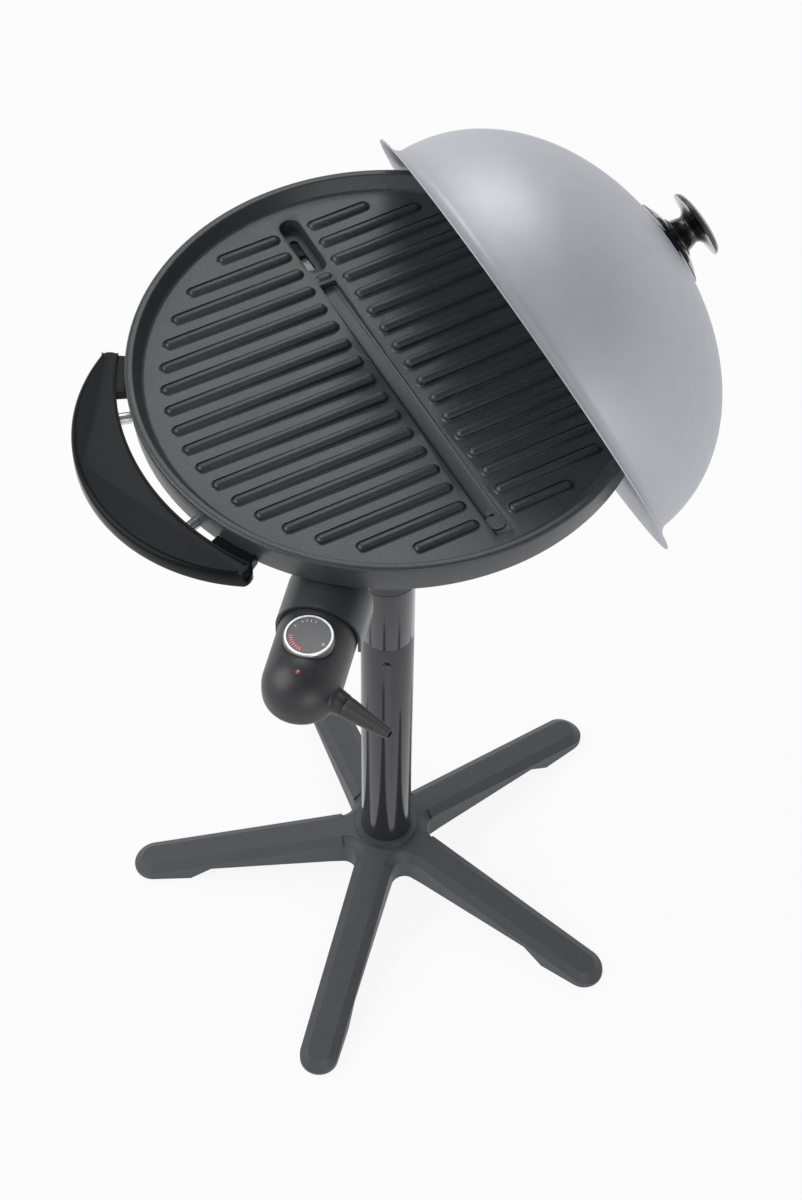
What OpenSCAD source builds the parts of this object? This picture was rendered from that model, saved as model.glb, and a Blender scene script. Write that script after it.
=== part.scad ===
// Electric indoor grill on a five-leg pedestal, with its domed lid hung on the far handle.
// Millimetres, +Z up. The origin is the column's axis at the floor. +X points to the hung
// lid, the drip channel runs along Y, and the thermostat plug is at the near left.

/* [Grill plate] */
// Height of the plate's rim above the floor
plate_top = 800; // [770:1:840]
// Radius of the plate at its rim
plate_r = 220; // [214:1:226]
// Height of the plate's outer wall
plate_wall_h = 30; // [28:1:34]
// Draft of the outer wall, from rim to lower edge
plate_draft = 3.2; // [2:0.1:4]
// Width of the flat rim
rim_w = 7; // [5:0.5:9]
// Depth of the pan at its edge
pan_depth = 13.5; // [12.5:0.5:15]
// Extra depth of the pan at its middle
pan_fall = 5.5; // [4:0.5:6.5]
// Thickness of the cast floor
floor_t = 5; // [4.5:0.5:6]
// Wall of the skirt under the rim
skirt_t = 3.3; // [2.5:0.1:4]

/* [Ribs and drain] */
// Number of rib rows on each side of the middle row
rib_rows = 8; // [4:1:8]
// Distance from rib to rib
rib_pitch = 22; // [20:0.5:22.5]
// Width of a rib
rib_w = 10; // [9:0.5:11]
// Depth of the rib tops under the rim
rib_drop = 11; // [10:0.5:12]
// Clear band between the rib ends and the pan wall
rib_edge_band = 15.6; // [12:1:20]
// Half of the clear band along the middle
rib_middle_gap = 14.5; // [13:0.5:18]
// Width of the drip channel
channel_w = 15; // [11:1:18]
// Depth of the channel's front end under the rim
channel_front_drop = 17; // [16:0.5:18]
// Depth of the channel's back end under the rim
channel_back_drop = 24; // [22:0.5:25]
// Length of the drain pocket
pocket_l = 65; // [55:1:68]
// Width of the drain pocket
pocket_w = 19; // [15:1:22]
// Depth of the drain pocket under the rim
pocket_drop = 28; // [26:0.5:29]
// Length of the drain slot
slot_l = 39; // [20:1:42]
// Width of the drain slot
slot_w = 7; // [5:0.5:9]

/* [Handles] */
// Thickness of a handle
handle_t = 14; // [12:0.5:16]
// Depth of a handle's top under the rim
handle_drop = 18; // [17:0.5:20]
// Finger gap between plate and handle
handle_gap = 8; // [7.5:0.5:10]
// Width of a handle at its middle
handle_w = 48; // [40:1:50]
// Radius of a handle's outer edge
handle_bow_r = 157.3; // [150:0.5:165]
// Half of the angle that a handle spans
handle_half_angle = 34; // [30:1:36]
// Height of the lip along a handle's inner edge
handle_lip_h = 1; // [0.5:0.1:1.5]
// Angle from a handle's middle to each of its bolts
handle_bolt_angle = 16.5; // [12:0.5:18]
// Diameter of a handle bolt
handle_bolt_d = 5; // [4:0.5:6]
// Diameter of a handle spacer
spacer_d = 10; // [9:0.5:12]

/* [Column] */
// Outer diameter of the column tubes
tube_d = 50.8; // [45:0.1:52]
// Wall of the column tubes
tube_t = 1.5; // [1.2:0.1:2]
// Height of the joint between the two tubes
seam_h = 414; // [360:1:440]
// Length of the upper tube's reduced end
swage_l = 50; // [44:1:60]
// Height of the head sleeve's lower edge
collar_h = 501; // [470:1:520]
// Distance from the tube joint down to the snap button
button_drop = 24; // [18:1:30]
// Diameter of the snap button
button_d = 8; // [6:0.5:9]

/* [Base] */
// Distance from the column's axis to a leg's tip
leg_reach = 265; // [240:1:290]
// Width of a leg
leg_w = 39; // [35:1:44]
// Height of a leg's top over its tip's centre
leg_tip_h = 18; // [16:0.5:22]
// Fall of the legs' top in degrees
leg_slope = 13.2; // [12:0.1:14]
// Height of the chamfer along a leg
leg_chamfer_h = 6.5; // [5:0.5:8]
// Width of the chamfer along a leg
leg_chamfer_w = 8.5; // [7:0.5:10]
// Radius of the fillets between the legs
leg_fillet_r = 14; // [12:0.5:18]
// Length of the foot under each leg
foot_l = 58; // [45:1:70]
// Wall of the base moulding
base_wall = 3.5; // [3:0.1:4.5]
// Height of the hub's rim above the floor
hub_top = 74.5; // [72:0.5:80]
// Diameter of a rubber foot pad
pad_d = 28; // [22:1:30]

/* [Support bowl and drip tray] */
// Radius of the bowl's floor
bowl_floor_r = 165; // [160:1:168]
// Radius of the bowl's wall at its top
bowl_top_r = 180; // [177:1:182]
// Depth of the bowl
bowl_h = 33; // [30:1:36]
// Thickness of the bowl's sheet
bowl_t = 1.5; // [1.2:0.1:2]
// Width of the drip tray
tray_w = 120; // [90:1:130]
// Length of the drip tray
tray_l = 143; // [125:1:150]
// Height of the drip tray
tray_h = 22; // [18:1:24]

/* [Thermostat plug] */
// Radius of the shroud's arch outside
shroud_r = 35.3; // [34:0.1:37]
// Wall of the shroud
shroud_t = 2.5; // [2:0.1:3]
// Distance from the column's axis to the shroud's mouth
shroud_mouth = 239; // [234:1:244]
// Running gap between plug and shroud
plug_gap = 0.8; // [0.5:0.1:1]
// Wall of the plug's two shells
plug_wall = 2.5; // [2:0.1:3]
// Distance from the column's axis to the centre of the plug's round end
plug_end_centre = 290; // [282:1:296]
// Distance from the column's axis to the dial's axis
dial_centre = 265.5; // [263:0.5:269]
// Diameter of the dial
dial_d = 41; // [36:1:42]
// Height of the dial
dial_h = 10; // [8:0.5:12]
// Length of the temperature probe outside the plug
probe_l = 91; // [80:1:95]
// Diameter of the temperature probe
probe_d = 5.5; // [4.5:0.5:6]
// Length of the strain relief outside the plug
relief_l = 42; // [30:1:50]

/* [Lid] */
// Radius of the lid's rim
lid_rim_r = 213.5; // [210:0.5:216]
// Radius of the dome's foot
dome_r = 196; // [192:0.5:198]
// Height of the dome
dome_h = 153; // [151:0.5:158]
// Sheet thickness of the lid
lid_t = 1.2; // [1:0.1:1.4]
// Height of the flare at the rim
flare_h = 12; // [9:0.5:14]
// Distance from the column's axis to the hung lid's rim centre
lid_out = 130; // [129:0.5:132]
// Drop of the hung lid's rim centre under the plate's rim
lid_drop = 54; // [53:0.5:56]
// Rise of the hung dome's axis above level
lid_rise = 22.4; // [21.6:0.1:23]
// Diameter of the guard disc under the knob
guard_d = 81; // [70:1:90]
// Diameter of the knob's cap
knob_d = 62; // [52:1:66]
// Height of the knob
knob_h = 29; // [24:1:34]
// Width of the lid hook
hook_w = 24; // [16:1:24]
// Thickness of the lid hook
hook_t = 3; // [2:0.1:3]

/* [Hidden] */
$fn = 96;

// Clearances
face_gap = 0.3;
run_gap = 0.05;
cut_over = 1;

// Plate, worked out
leg_count = 5;
leg_azimuth = 226;
skirt_low_z = plate_top - plate_wall_h;
pan_edge_r = plate_r - rim_w - 7;
rib_end_r = pan_edge_r - rib_edge_band;
floor_edge_z = plate_top - pan_depth;
floor_mid_z = floor_edge_z - pan_fall;
rib_top_z = plate_top - rib_drop;
pocket_back_y = pan_edge_r - 14;
pocket_front_y = pocket_back_y - pocket_l;
dam_w = 15;
pocket_floor_z = plate_top - pocket_drop;
boss_wall = 4;
rim_round = 3;
rim_inner_step = 1;

// Heating element, worked out
element_d = 6.5;
element_z = plate_top - 26;
element_outer_r = 150;
element_inner_r = 90;
element_turn_az = 52;
element_seat_w = 12;
element_seat_top = plate_top - 17.5;
element_gap = 0.15;
element_sides = 8;
lead_bend_r = 14;
lead_drop_r = 8;
pin_pitch = 26;

// Terminal set in the frame of the plug: x runs outward from the column's axis
plug_azimuth = 228;
plug_z = plate_top - 33 - shroud_r;
plug_r = shroud_r - shroud_t - plug_gap;
pin_z = plug_z + 12.3;
block_back = 164;
block_front = 198;
block_w = 60;
flange_t = 2.5;
flange_top_z = plate_top - 32;
block_top_z = flange_top_z - flange_t;
block_low_z = pin_z - 7;
post_x = 186;
post_pitch = 48;
post_r = 6;
post_screw_d = 4;
pin_d = 5;
pin_end = 226;
lead_x = block_back + lead_drop_r;
lug_back = 160;
lug_front = 121;
lug_w = 11;

// Thermostat plug, worked out
plug_back = 218;
plug_low_h = 16;
plug_seam_z = plug_z;
sleeve_d = 8;
sleeve_end = 246;
stat_back = 240;
stat_front = 277;
stat_w = 46;
stat_low_z = plug_z + 1.5;
stat_top_z = pin_z + 7;
spindle_d = 6;
dial_seat_z = plug_z + plug_r - 8.5;
dial_low_z = dial_seat_z + face_gap;
dial_pocket_gap = 1.2;
lamp_x = plug_end_centre + 9;
lamp_d = 4;
lamp_z = plug_z + sqrt(pow(plug_r, 2) - pow(lamp_x - plug_end_centre, 2));
spout_turn = 67;
spout_l = 37;
spout_root_r = 14;
spout_end_r = 9.5;
spout_x = plug_end_centre - 2;
spout_y = 6;
relief_neck_l = 12;
relief_neck_r = 6;
relief_root_r = 8.9;
relief_tip_r = 4.6;
relief_bore_r = 3.3;
shell_screws = [[228, 22], [228, -22], [plug_end_centre + 20, -8]];
shell_screw_d = 3;
shell_boss_r = 3.4;
shell_head_r = 2.8;
shell_screw_rise = 8;

// Column, worked out
tube_r = tube_d / 2;
tube_in_r = tube_r - tube_t;
swage_r = tube_in_r - 0.1;
hub_r = tube_r + 6.4;
hub_bore_r = tube_r + 0.1;
tube_low_z = 22;
plug_disc_t = 8;
bolt_d = 10;
bolt_head_r = 8.5;
bolt_head_h = 6.4;
washer_r = 14;
washer_t = 2;
hub_floor_t = 6;
hub_floor_z = tube_low_z - hub_floor_t;
bowl_low_z = plate_top - 38.5 - bowl_h;
bowl_lip_z = plate_top - 38.5;
bowl_lip_r = bowl_top_r + 6;
socket_top_z = bowl_low_z;
socket_r = tube_r + 3;
socket_flange_r = 60;
socket_flange_t = 7;
socket_stop = 20;
ring_h = 7;
ring_r = tube_r + 3;
head_screw_r = 46;
head_screws = 4;
head_screw_d = 5;
head_screw_l = 16;

// Snap button, worked out
button_azimuth = 240;
button_z = seam_h - button_drop;
button_out = 2.2;
leaf_w = 10;
leaf_t = 0.8;
leaf_up = 9;
leaf_down = 18;
leaf_x = sqrt(pow(swage_r - tube_t, 2) - pow(leaf_w / 2, 2)) - face_gap - leaf_t;

// Base, worked out
leg_half = leg_w / 2;
leg_tip_r = leg_reach - leg_half;
foot_in_r = leg_reach - foot_l;
pad_out = 1.5;
pad_in = 2.5;
pad_r = pad_d / 2;
arch_low_z = 19;
arch_high_z = 27;
fillet_bite = 0.2;
fillet_centre = (leg_half + leg_fillet_r) / sin(180 / leg_count);
cavity_half = leg_half - base_wall;
cavity_end_r = foot_in_r - 12;
hub_boss_r = hub_r;

// Bowl and tray, worked out
tray_mid_y = 61.5;
tray_front_y = tray_mid_y + tray_l;
tray_t = 1.5;
tray_low_z = bowl_low_z + bowl_t + face_gap;
tray_top_z = tray_low_z + tray_h;
tray_pull_w = 50;
rail_t = 1.5;
rail_h = 12;
rail_foot = 12;
rail_l = 92;
rail_y = tray_mid_y - 26;
rail_gap = 0.5;
rivet_d = 4;
foot_azimuths = [30, 150, 270];
plate_foot_x = (bowl_top_r + bowl_lip_r) / 2 - 3;
plate_foot_r = 8;
plate_key_x = bowl_top_r - 9.5;
plate_key_r = 3.5;
plate_key_h = 9;

// Handles, worked out
handle_in_r = plate_r + handle_gap;
handle_reach = handle_in_r + handle_w;
handle_centre = handle_reach - handle_bow_r;
handle_top_z = plate_top - handle_drop;
handle_low_z = handle_top_z - handle_t;
bolt_z = max(handle_low_z + 7, skirt_low_z + 5);
bolt_head = 4.5;
bolt_head_t = 3.5;
bolt_bite = 18;
arm_from = 23;
arm_gap = 0.2;
arm_to = handle_half_angle - 1;
handle_round = 5;
lip_w = 2.2;

// Lid, worked out
lid_power = 2.05;
lid_centre_z = plate_top - lid_drop;
flat_r = 18;
guard_gap = 1.5;
guard_boss_r = 10;
guard_h = 7;
guard_edge = 0.9;
knob_foot_r = 19;
knob_foot_h = 2.5;
knob_waist_r = 13;
knob_neck_r = 17;
knob_crown = 7;
knob_rim = 2;
knob_skew = 14;
lid_screw_d = 6;
lid_screw_head_r = 5.5;
lid_screw_head_h = 4;
lid_screw_bite = 16;
washer_lid_r = 9;
washer_lid_t = 1.2;
washer_gap = 0.02;
hook_bend = 3;
hook_lip_bend = 2;
hook_lip_gap = 3.5;
hook_lift = 60;
hook_drop = 14;

function polar(r, a) = [r * cos(a), r * sin(a)];
function wall_r(z) = plate_r - plate_draft * (plate_top - z) / plate_wall_h;
function arc(cx, cy, r, from, to, steps) =
    [for (i = [0:steps]) [cx, cy] + polar(r, from + (to - from) * i / steps)];

// A slot-shaped outline from y = a to y = b, w wide
module slot_2d(a, b, w) {
    translate([0, a + w / 2]) circle(d = w);
    translate([0, b - w / 2]) circle(d = w);
    translate([-w / 2, a + w / 2]) square([w, b - a - w]);
}

module at_plug() {
    rotate([0, 0, plug_azimuth]) children();
}

module at_lid() {
    translate([lid_out, 0, lid_centre_z]) rotate([0, 90 - lid_rise, 0]) children();
}

// Base

// Plan of the five legs, with round tips and filleted corners between them
module star_2d(half, tip_r, fillet_r) {
    corner = fillet_centre;
    for (i = [0:leg_count - 1]) rotate([0, 0, leg_azimuth + i * 360 / leg_count]) {
        translate([0, -half]) square([tip_r, 2 * half]);
        translate([tip_r, 0]) circle(r = half);
    }
    for (i = [0:leg_count - 1]) rotate([0, 0, leg_azimuth + (i + 0.5) * 360 / leg_count])
        difference() {
            polygon([[0, 0], corner * cos(180 / leg_count) * polar(1, 180 / leg_count),
                [corner, 0], corner * cos(180 / leg_count) * polar(1, -180 / leg_count)]);
            translate([corner, 0]) circle(r = fillet_r + fillet_bite);
        }
}

function leg_top(r) = leg_tip_h + (leg_tip_r - r) * tan(leg_slope);

// Side view of the base, turned round the column's axis
module base_side_2d() {
    polygon(concat(
        [[0, arch_high_z], [hub_boss_r + 30, arch_high_z]],
        [[foot_in_r - 22, arch_low_z], [foot_in_r, pad_out], [leg_reach + cut_over, pad_out]],
        [[leg_reach + cut_over, leg_top(leg_reach)], [tube_r, leg_top(tube_r)], [0, leg_top(tube_r)]]));
}

// Cross-section of the cut that chamfers a leg's upper edge
module leg_chamfer_2d() {
    over = 3;
    low = -leg_chamfer_h * (leg_chamfer_w + over) / leg_chamfer_w;
    polygon([[leg_half - leg_chamfer_w, 0], [leg_half + over, low], [leg_half + 20, low],
        [leg_half + 20, 20], [leg_half - leg_chamfer_w, 20]]);
}

module leg_chamfer() {
    run = leg_tip_r - fillet_centre * cos(180 / leg_count);
    translate([leg_tip_r, 0, leg_tip_h]) rotate([0, leg_slope, 0]) {
        for (side = [0, 1]) mirror([0, side, 0])
            rotate([0, 0, 180]) rotate([90, 0, 90]) linear_extrude(run / cos(leg_slope)) leg_chamfer_2d();
        rotate([0, 0, -90]) rotate_extrude(angle = 180) leg_chamfer_2d();
    }
}

// The chamfer runs on round the corner between two legs
module corner_chamfer() {
    over = 3;
    lean = atan(tan(leg_slope) * cos(180 / leg_count));
    spread = 180 - 360 / leg_count;
    translate([fillet_centre, 0, leg_top(fillet_centre * cos(180 / leg_count))])
        translate([0, 0, -fillet_centre * (1 - cos(180 / leg_count)) * tan(lean) * 2])
        rotate([0, lean, 0]) rotate([0, 0, 180 - spread / 2]) rotate_extrude(angle = spread)
            polygon([[leg_fillet_r - over, -leg_chamfer_h * (leg_chamfer_w + over) / leg_chamfer_w],
                [leg_fillet_r + leg_chamfer_w, 0], [leg_fillet_r + leg_chamfer_w, 20],
                [leg_fillet_r - over, 20]]);
}

// Plan of the hollows under the legs
module leg_hollows_2d() {
    start = fillet_centre * cos(180 / leg_count) + 2;
    end = cavity_end_r - cavity_half;
    for (i = [0:leg_count - 1]) rotate([0, 0, leg_azimuth + i * 360 / leg_count]) {
        translate([start, -cavity_half]) square([end - start, 2 * cavity_half]);
        translate([end, 0]) circle(r = cavity_half);
    }
}

// Hollows under the legs, between cross ribs
module base_hollow() {
    ribs = [92, 146];
    intersection() {
        linear_extrude(hub_top) leg_hollows_2d();
        difference() {
            rotate_extrude() polygon([[hub_boss_r, -cut_over], [cavity_end_r, -cut_over],
                [cavity_end_r, leg_top(cavity_end_r) - base_wall - leg_chamfer_h / 2],
                [hub_boss_r, leg_top(hub_boss_r) - base_wall - leg_chamfer_h / 2]]);
            for (r = ribs) rotate_extrude()
                translate([r, -2 * cut_over]) square([base_wall, hub_top]);
        }
    }
}

module base_star() {
    color("dimgray") difference() {
        union() {
            intersection() {
                linear_extrude(hub_top) star_2d(leg_half, leg_tip_r, leg_fillet_r);
                rotate_extrude() base_side_2d();
            }
            translate([0, 0, arch_low_z - 11]) cylinder(r = hub_boss_r, h = hub_top - arch_low_z + 11);
        }
        for (i = [0:leg_count - 1]) {
            rotate([0, 0, leg_azimuth + i * 360 / leg_count]) leg_chamfer();
            rotate([0, 0, leg_azimuth + (i + 0.5) * 360 / leg_count]) corner_chamfer();
            rotate([0, 0, leg_azimuth + i * 360 / leg_count])
                translate([leg_tip_r, 0, 0]) cylinder(r = pad_r, h = pad_out + pad_in);
        }
        base_hollow();
        translate([0, 0, tube_low_z]) cylinder(r = hub_bore_r, h = hub_top);
        translate([0, 0, -cut_over]) cylinder(d = bolt_d + 1, h = hub_top);
        translate([0, 0, -cut_over]) cylinder(r = washer_r + 2, h = hub_floor_z + cut_over);
    }
}

module foot_pads() {
    color([0.1, 0.1, 0.1]) for (i = [0:leg_count - 1])
        rotate([0, 0, leg_azimuth + i * 360 / leg_count]) translate([leg_tip_r, 0, 0])
            rotate_extrude() polygon([[0, 0], [pad_r - 1, 0], [pad_r, 1], [pad_r, pad_out + pad_in],
                [0, pad_out + pad_in]]);
}

module column_plug() {
    color("silver") difference() {
        translate([0, 0, tube_low_z]) cylinder(r = tube_in_r, h = plug_disc_t);
        translate([0, 0, tube_low_z - cut_over]) cylinder(d = bolt_d, h = plug_disc_t + 2 * cut_over);
    }
}

module base_washer() {
    color("silver") translate([0, 0, hub_floor_z - washer_t]) difference() {
        cylinder(r = washer_r, h = washer_t);
        translate([0, 0, -cut_over]) cylinder(d = bolt_d + 1, h = washer_t + 2 * cut_over);
    }
}

module base_bolt() {
    head_z = hub_floor_z - washer_t - bolt_head_h;
    color("silver") difference() {
        union() {
            translate([0, 0, head_z]) cylinder(r = bolt_head_r, h = bolt_head_h, $fn = 6);
            translate([0, 0, head_z]) cylinder(d = bolt_d, h = tube_low_z + plug_disc_t + 3 - head_z);
        }
    }
}

// Column

module column_lower() {
    color([0.2, 0.2, 0.23]) difference() {
        translate([0, 0, tube_low_z]) cylinder(r = tube_r, h = seam_h - tube_low_z);
        translate([0, 0, tube_low_z - cut_over]) cylinder(r = tube_in_r, h = seam_h);
        button_hole();
    }
}

module button_hole() {
    rotate([0, 0, button_azimuth]) translate([leaf_x + leaf_t, 0, button_z]) rotate([0, 90, 0])
        cylinder(d = button_d + 0.4, h = tube_r);
}

module column_upper() {
    top_z = socket_top_z - socket_stop;
    low_z = seam_h - swage_l;
    color([0.2, 0.2, 0.23]) difference() {
        rotate_extrude() polygon([[swage_r - tube_t, low_z], [swage_r, low_z], [swage_r, seam_h],
            [tube_r, seam_h], [tube_r, top_z], [tube_in_r, top_z], [tube_in_r, seam_h + tube_t],
            [swage_r - tube_t, seam_h + tube_t]]);
        button_hole();
    }
}

module snap_button() {
    out = tube_r + button_out;
    color("silver") rotate([0, 0, button_azimuth]) translate([0, 0, button_z]) rotate([0, 90, 0])
        rotate_extrude() polygon(concat([[0, leaf_x + leaf_t], [button_d / 2, leaf_x + leaf_t]],
            arc(button_d / 2 - 1.5, out - 1.5, 1.5, 0, 90, 4), [[0, out]]));
}

// Leaf that pushes the button out: it lies along the inside of the tube and moves with the button
module button_leaf() {
    color("silver") rotate([0, 0, button_azimuth])
        translate([leaf_x, -leaf_w / 2, button_z - leaf_down]) cube([leaf_t, leaf_w, leaf_up + leaf_down]);
}

module trim_ring() {
    groove = 1;
    color([0.08, 0.08, 0.09]) rotate_extrude() polygon([[tube_r, collar_h], [ring_r - 1, collar_h],
        [ring_r, collar_h + 1], [ring_r, collar_h + 3], [ring_r - groove, collar_h + 3.5],
        [ring_r, collar_h + 4], [ring_r, collar_h + ring_h], [tube_r, collar_h + ring_h]]);
}

module head_socket() {
    low_z = collar_h + ring_h;
    gusset = 3;
    color([0.13, 0.13, 0.14]) difference() {
        union() {
            translate([0, 0, low_z]) cylinder(r = socket_r, h = socket_top_z - low_z);
            translate([0, 0, socket_top_z - socket_flange_t]) cylinder(r = socket_flange_r, h = socket_flange_t);
            intersection() {
                for (a = [0:45:179]) rotate([0, 0, a + 22.5])
                    translate([-socket_flange_r, -gusset / 2, low_z]) cube([2 * socket_flange_r, gusset,
                        socket_top_z - low_z]);
                translate([0, 0, socket_top_z - 60])
                    cylinder(r1 = tube_r, r2 = socket_flange_r - 2, h = 60 - socket_flange_t / 2);
            }
        }
        translate([0, 0, low_z - cut_over]) cylinder(r = tube_r, h = socket_top_z - socket_stop - low_z + cut_over);
        translate([0, 0, low_z]) cylinder(r = tube_in_r, h = socket_top_z);
        for (i = [0:head_screws - 1]) rotate([0, 0, 45 + i * 360 / head_screws])
            translate([head_screw_r, 0, socket_top_z - socket_flange_t - cut_over])
                cylinder(d = head_screw_d, h = socket_flange_t + 2 * cut_over);
    }
}

// Support bowl and drip tray

module bowl_profile_2d() {
    lean = bowl_t * 1.1;
    polygon([[0, bowl_low_z], [bowl_floor_r, bowl_low_z], [bowl_top_r, bowl_lip_z - bowl_t],
        [bowl_lip_r, bowl_lip_z - bowl_t], [bowl_lip_r, bowl_lip_z], [bowl_top_r - lean, bowl_lip_z],
        [bowl_floor_r - lean, bowl_low_z + bowl_t], [0, bowl_low_z + bowl_t]]);
}

module support_bowl() {
    notch_w = 2 * shroud_r + 12;
    door_w = tray_w + 8;
    color("gainsboro") difference() {
        rotate_extrude() bowl_profile_2d();
        at_plug() translate([bowl_floor_r - 15, -notch_w / 2, bowl_low_z + 3])
            cube([60, notch_w, bowl_h + 10]);
        translate([-door_w / 2, bowl_floor_r / 2, bowl_low_z + bowl_t])
            cube([door_w, bowl_lip_r, tray_h + 3]);
        for (i = [0:head_screws - 1]) rotate([0, 0, 45 + i * 360 / head_screws])
            translate([head_screw_r, 0, bowl_low_z - cut_over])
                cylinder(d = head_screw_d, h = bowl_t + 2 * cut_over);
        rail_rivet_places(bowl_low_z - cut_over) cylinder(d = rivet_d, h = bowl_t + 2 * cut_over);
        translate([0, 0, bowl_low_z - cut_over]) cylinder(r = 12, h = bowl_t + 2 * cut_over);
    }
}

module bowl_screws() {
    top = bowl_low_z + bowl_t;
    color("silver") for (i = [0:head_screws - 1]) rotate([0, 0, 45 + i * 360 / head_screws])
        translate([head_screw_r, 0, 0]) rotate_extrude() polygon([[0, top - head_screw_l],
            [head_screw_d / 2, top - head_screw_l], [head_screw_d / 2, top], [head_screw_d, top],
            [head_screw_d * 0.8, top + 1.6], [0, top + 2]]);
}

function rail_x() = tray_w / 2 + rail_gap;

module rail_rivet_places(z) {
    for (side = [-1, 1]) for (y = [12, rail_l - 12])
        translate([side * (rail_x() + rail_t + rail_foot / 2), rail_y + y, z]) children();
}

// Two angle rails, riveted to the bowl's floor, guide the tray
module tray_rails() {
    z = bowl_low_z + bowl_t;
    color("silver") difference() {
        for (side = [0, 1]) mirror([side, 0, 0]) translate([rail_x(), rail_y, z]) {
            cube([rail_t, rail_l, rail_h]);
            cube([rail_t + rail_foot, rail_l, rail_t]);
        }
        rail_rivet_places(z - cut_over) cylinder(d = rivet_d, h = rail_t + 2 * cut_over);
    }
}

module rail_rivets() {
    low = bowl_low_z;
    top = bowl_low_z + bowl_t + rail_t;
    color("silver") rail_rivet_places(0) rotate_extrude() polygon([[0, low - 1.2], [rivet_d * 0.8, low - 0.8],
        [rivet_d * 0.9, low], [rivet_d / 2, low], [rivet_d / 2, top], [rivet_d * 0.9, top],
        [rivet_d * 0.8, top + 0.8], [0, top + 1.2]]);
}

module drip_tray() {
    grip_z = tray_top_z - 5;
    color("gainsboro") translate([0, tray_mid_y, 0]) {
        difference() {
            translate([-tray_w / 2, 0, tray_low_z]) cube([tray_w, tray_l, tray_h]);
            translate([-tray_w / 2 + tray_t, tray_t, tray_low_z + tray_t])
                cube([tray_w - 2 * tray_t, tray_l - 2 * tray_t, tray_h]);
        }
        translate([-tray_pull_w / 2, tray_l, grip_z]) cube([tray_pull_w, 12, tray_t]);
        translate([-tray_pull_w / 2, tray_l + 12 - tray_t, grip_z - 6]) cube([tray_pull_w, tray_t, 6]);
    }
}

// Grill plate

module plate_body_2d() {
    inner_top = plate_r - rim_w;
    fillet = 4;
    polygon(concat(
        [[0, floor_mid_z - floor_t], [skirt_in_r(floor_mid_z - floor_t), floor_mid_z - floor_t]],
        [[skirt_in_r(skirt_low_z), skirt_low_z], [wall_r(skirt_low_z), skirt_low_z]],
        arc(plate_r - rim_round, plate_top - rim_round, rim_round, 0, 90, 5),
        arc(inner_top + 1.5, plate_top - 1.5, 1.5, 90, 165, 3),
        [[pan_edge_r + fillet * 0.2, floor_edge_z + fillet]],
        [[pan_edge_r - fillet * 0.25, floor_edge_z + fillet * 0.3]],
        [[pan_edge_r - fillet, floor_edge_z - pan_fall * fillet / pan_edge_r]],
        [[0, floor_mid_z]]));
}

function skirt_in_r(z) = wall_r(z) - skirt_t;

// Hollow under the pan's floor, inside the skirt
module underside_2d() {
    deep = floor_mid_z - floor_t - 10;
    polygon([[0, deep], [skirt_in_r(deep), deep], [skirt_in_r(floor_edge_z - floor_t - 1),
        floor_edge_z - floor_t - 1], [pan_edge_r, floor_edge_z - floor_t], [0, floor_mid_z - floor_t]]);
}

// Bar with a round section and round ends, half sunk in the pan's floor
module rib(a, b) {
    r = rib_w / 2;
    translate([a + r, 0, rib_top_z - r]) {
        sphere(r = r);
        rotate([0, 90, 0]) cylinder(r = r, h = b - a - 2 * r);
    }
    translate([b - r, 0, rib_top_z - r]) sphere(r = r);
}

module ribs() {
    for (k = [-rib_rows:rib_rows]) {
        y = k * rib_pitch;
        reach = sqrt(pow(rib_end_r, 2) - pow(y, 2));
        for (side = [0, 1]) mirror([side, 0, 0]) translate([0, y, 0]) rib(rib_middle_gap, reach);
    }
}

// The channel's trough, deeper towards the back; grow widens it into the wall around it
module channel_bar(grow) {
    front_y = -pan_edge_r + 12;
    back_y = pocket_front_y - dam_w;
    run = back_y - front_y;
    fall = atan((channel_back_drop - channel_front_drop) / run);
    w = channel_w + 2 * grow;
    corner = 3.5;
    h = 12;
    translate([0, front_y - grow, plate_top - channel_front_drop - grow]) rotate([-fall, 0, 0])
        rotate([-90, 0, 0]) linear_extrude(run / cos(fall) + 2 * grow) {
            translate([-w / 2 + corner, -corner]) circle(r = corner, $fn = 32);
            translate([w / 2 - corner, -corner]) circle(r = corner, $fn = 32);
            translate([-w / 2 + corner, -corner]) square([w - 2 * corner, corner]);
            translate([-w / 2, -h]) square([w, h - corner]);
        }
}

// Middle line of the heating element: a lead, outer arc, turn, inner arc, turn, outer arc, lead
lead_half = pin_pitch / 2;
lead_far = sqrt(pow(element_outer_r + lead_bend_r, 2) - pow(lead_half + lead_bend_r, 2));
lead_az = asin((lead_half + lead_bend_r) / (element_outer_r + lead_bend_r));
turn_r = (element_outer_r - element_inner_r) / 2;
turn_mid_r = (element_outer_r + element_inner_r) / 2;
turn_left_az = 180 - element_turn_az;
function flat(points) = [for (p = points) [p[0], p[1], element_z]];
function spin(points, a) = [for (p = points)
    [p[0] * cos(a) - p[1] * sin(a), p[0] * sin(a) + p[1] * cos(a), p[2]]];
function flipped(points) = [for (p = points) [p[0], -p[1], p[2]]];
function lead_points() = concat(
    [[lead_x, lead_half, pin_z]],
    [for (i = [0:4]) let (a = 22.5 * i)
        [block_back + lead_drop_r * cos(a), lead_half, element_z - lead_drop_r + lead_drop_r * sin(a)]],
    flat(arc(lead_far, lead_half + lead_bend_r, lead_bend_r, 270, 180 + lead_az, 4)));
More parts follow.
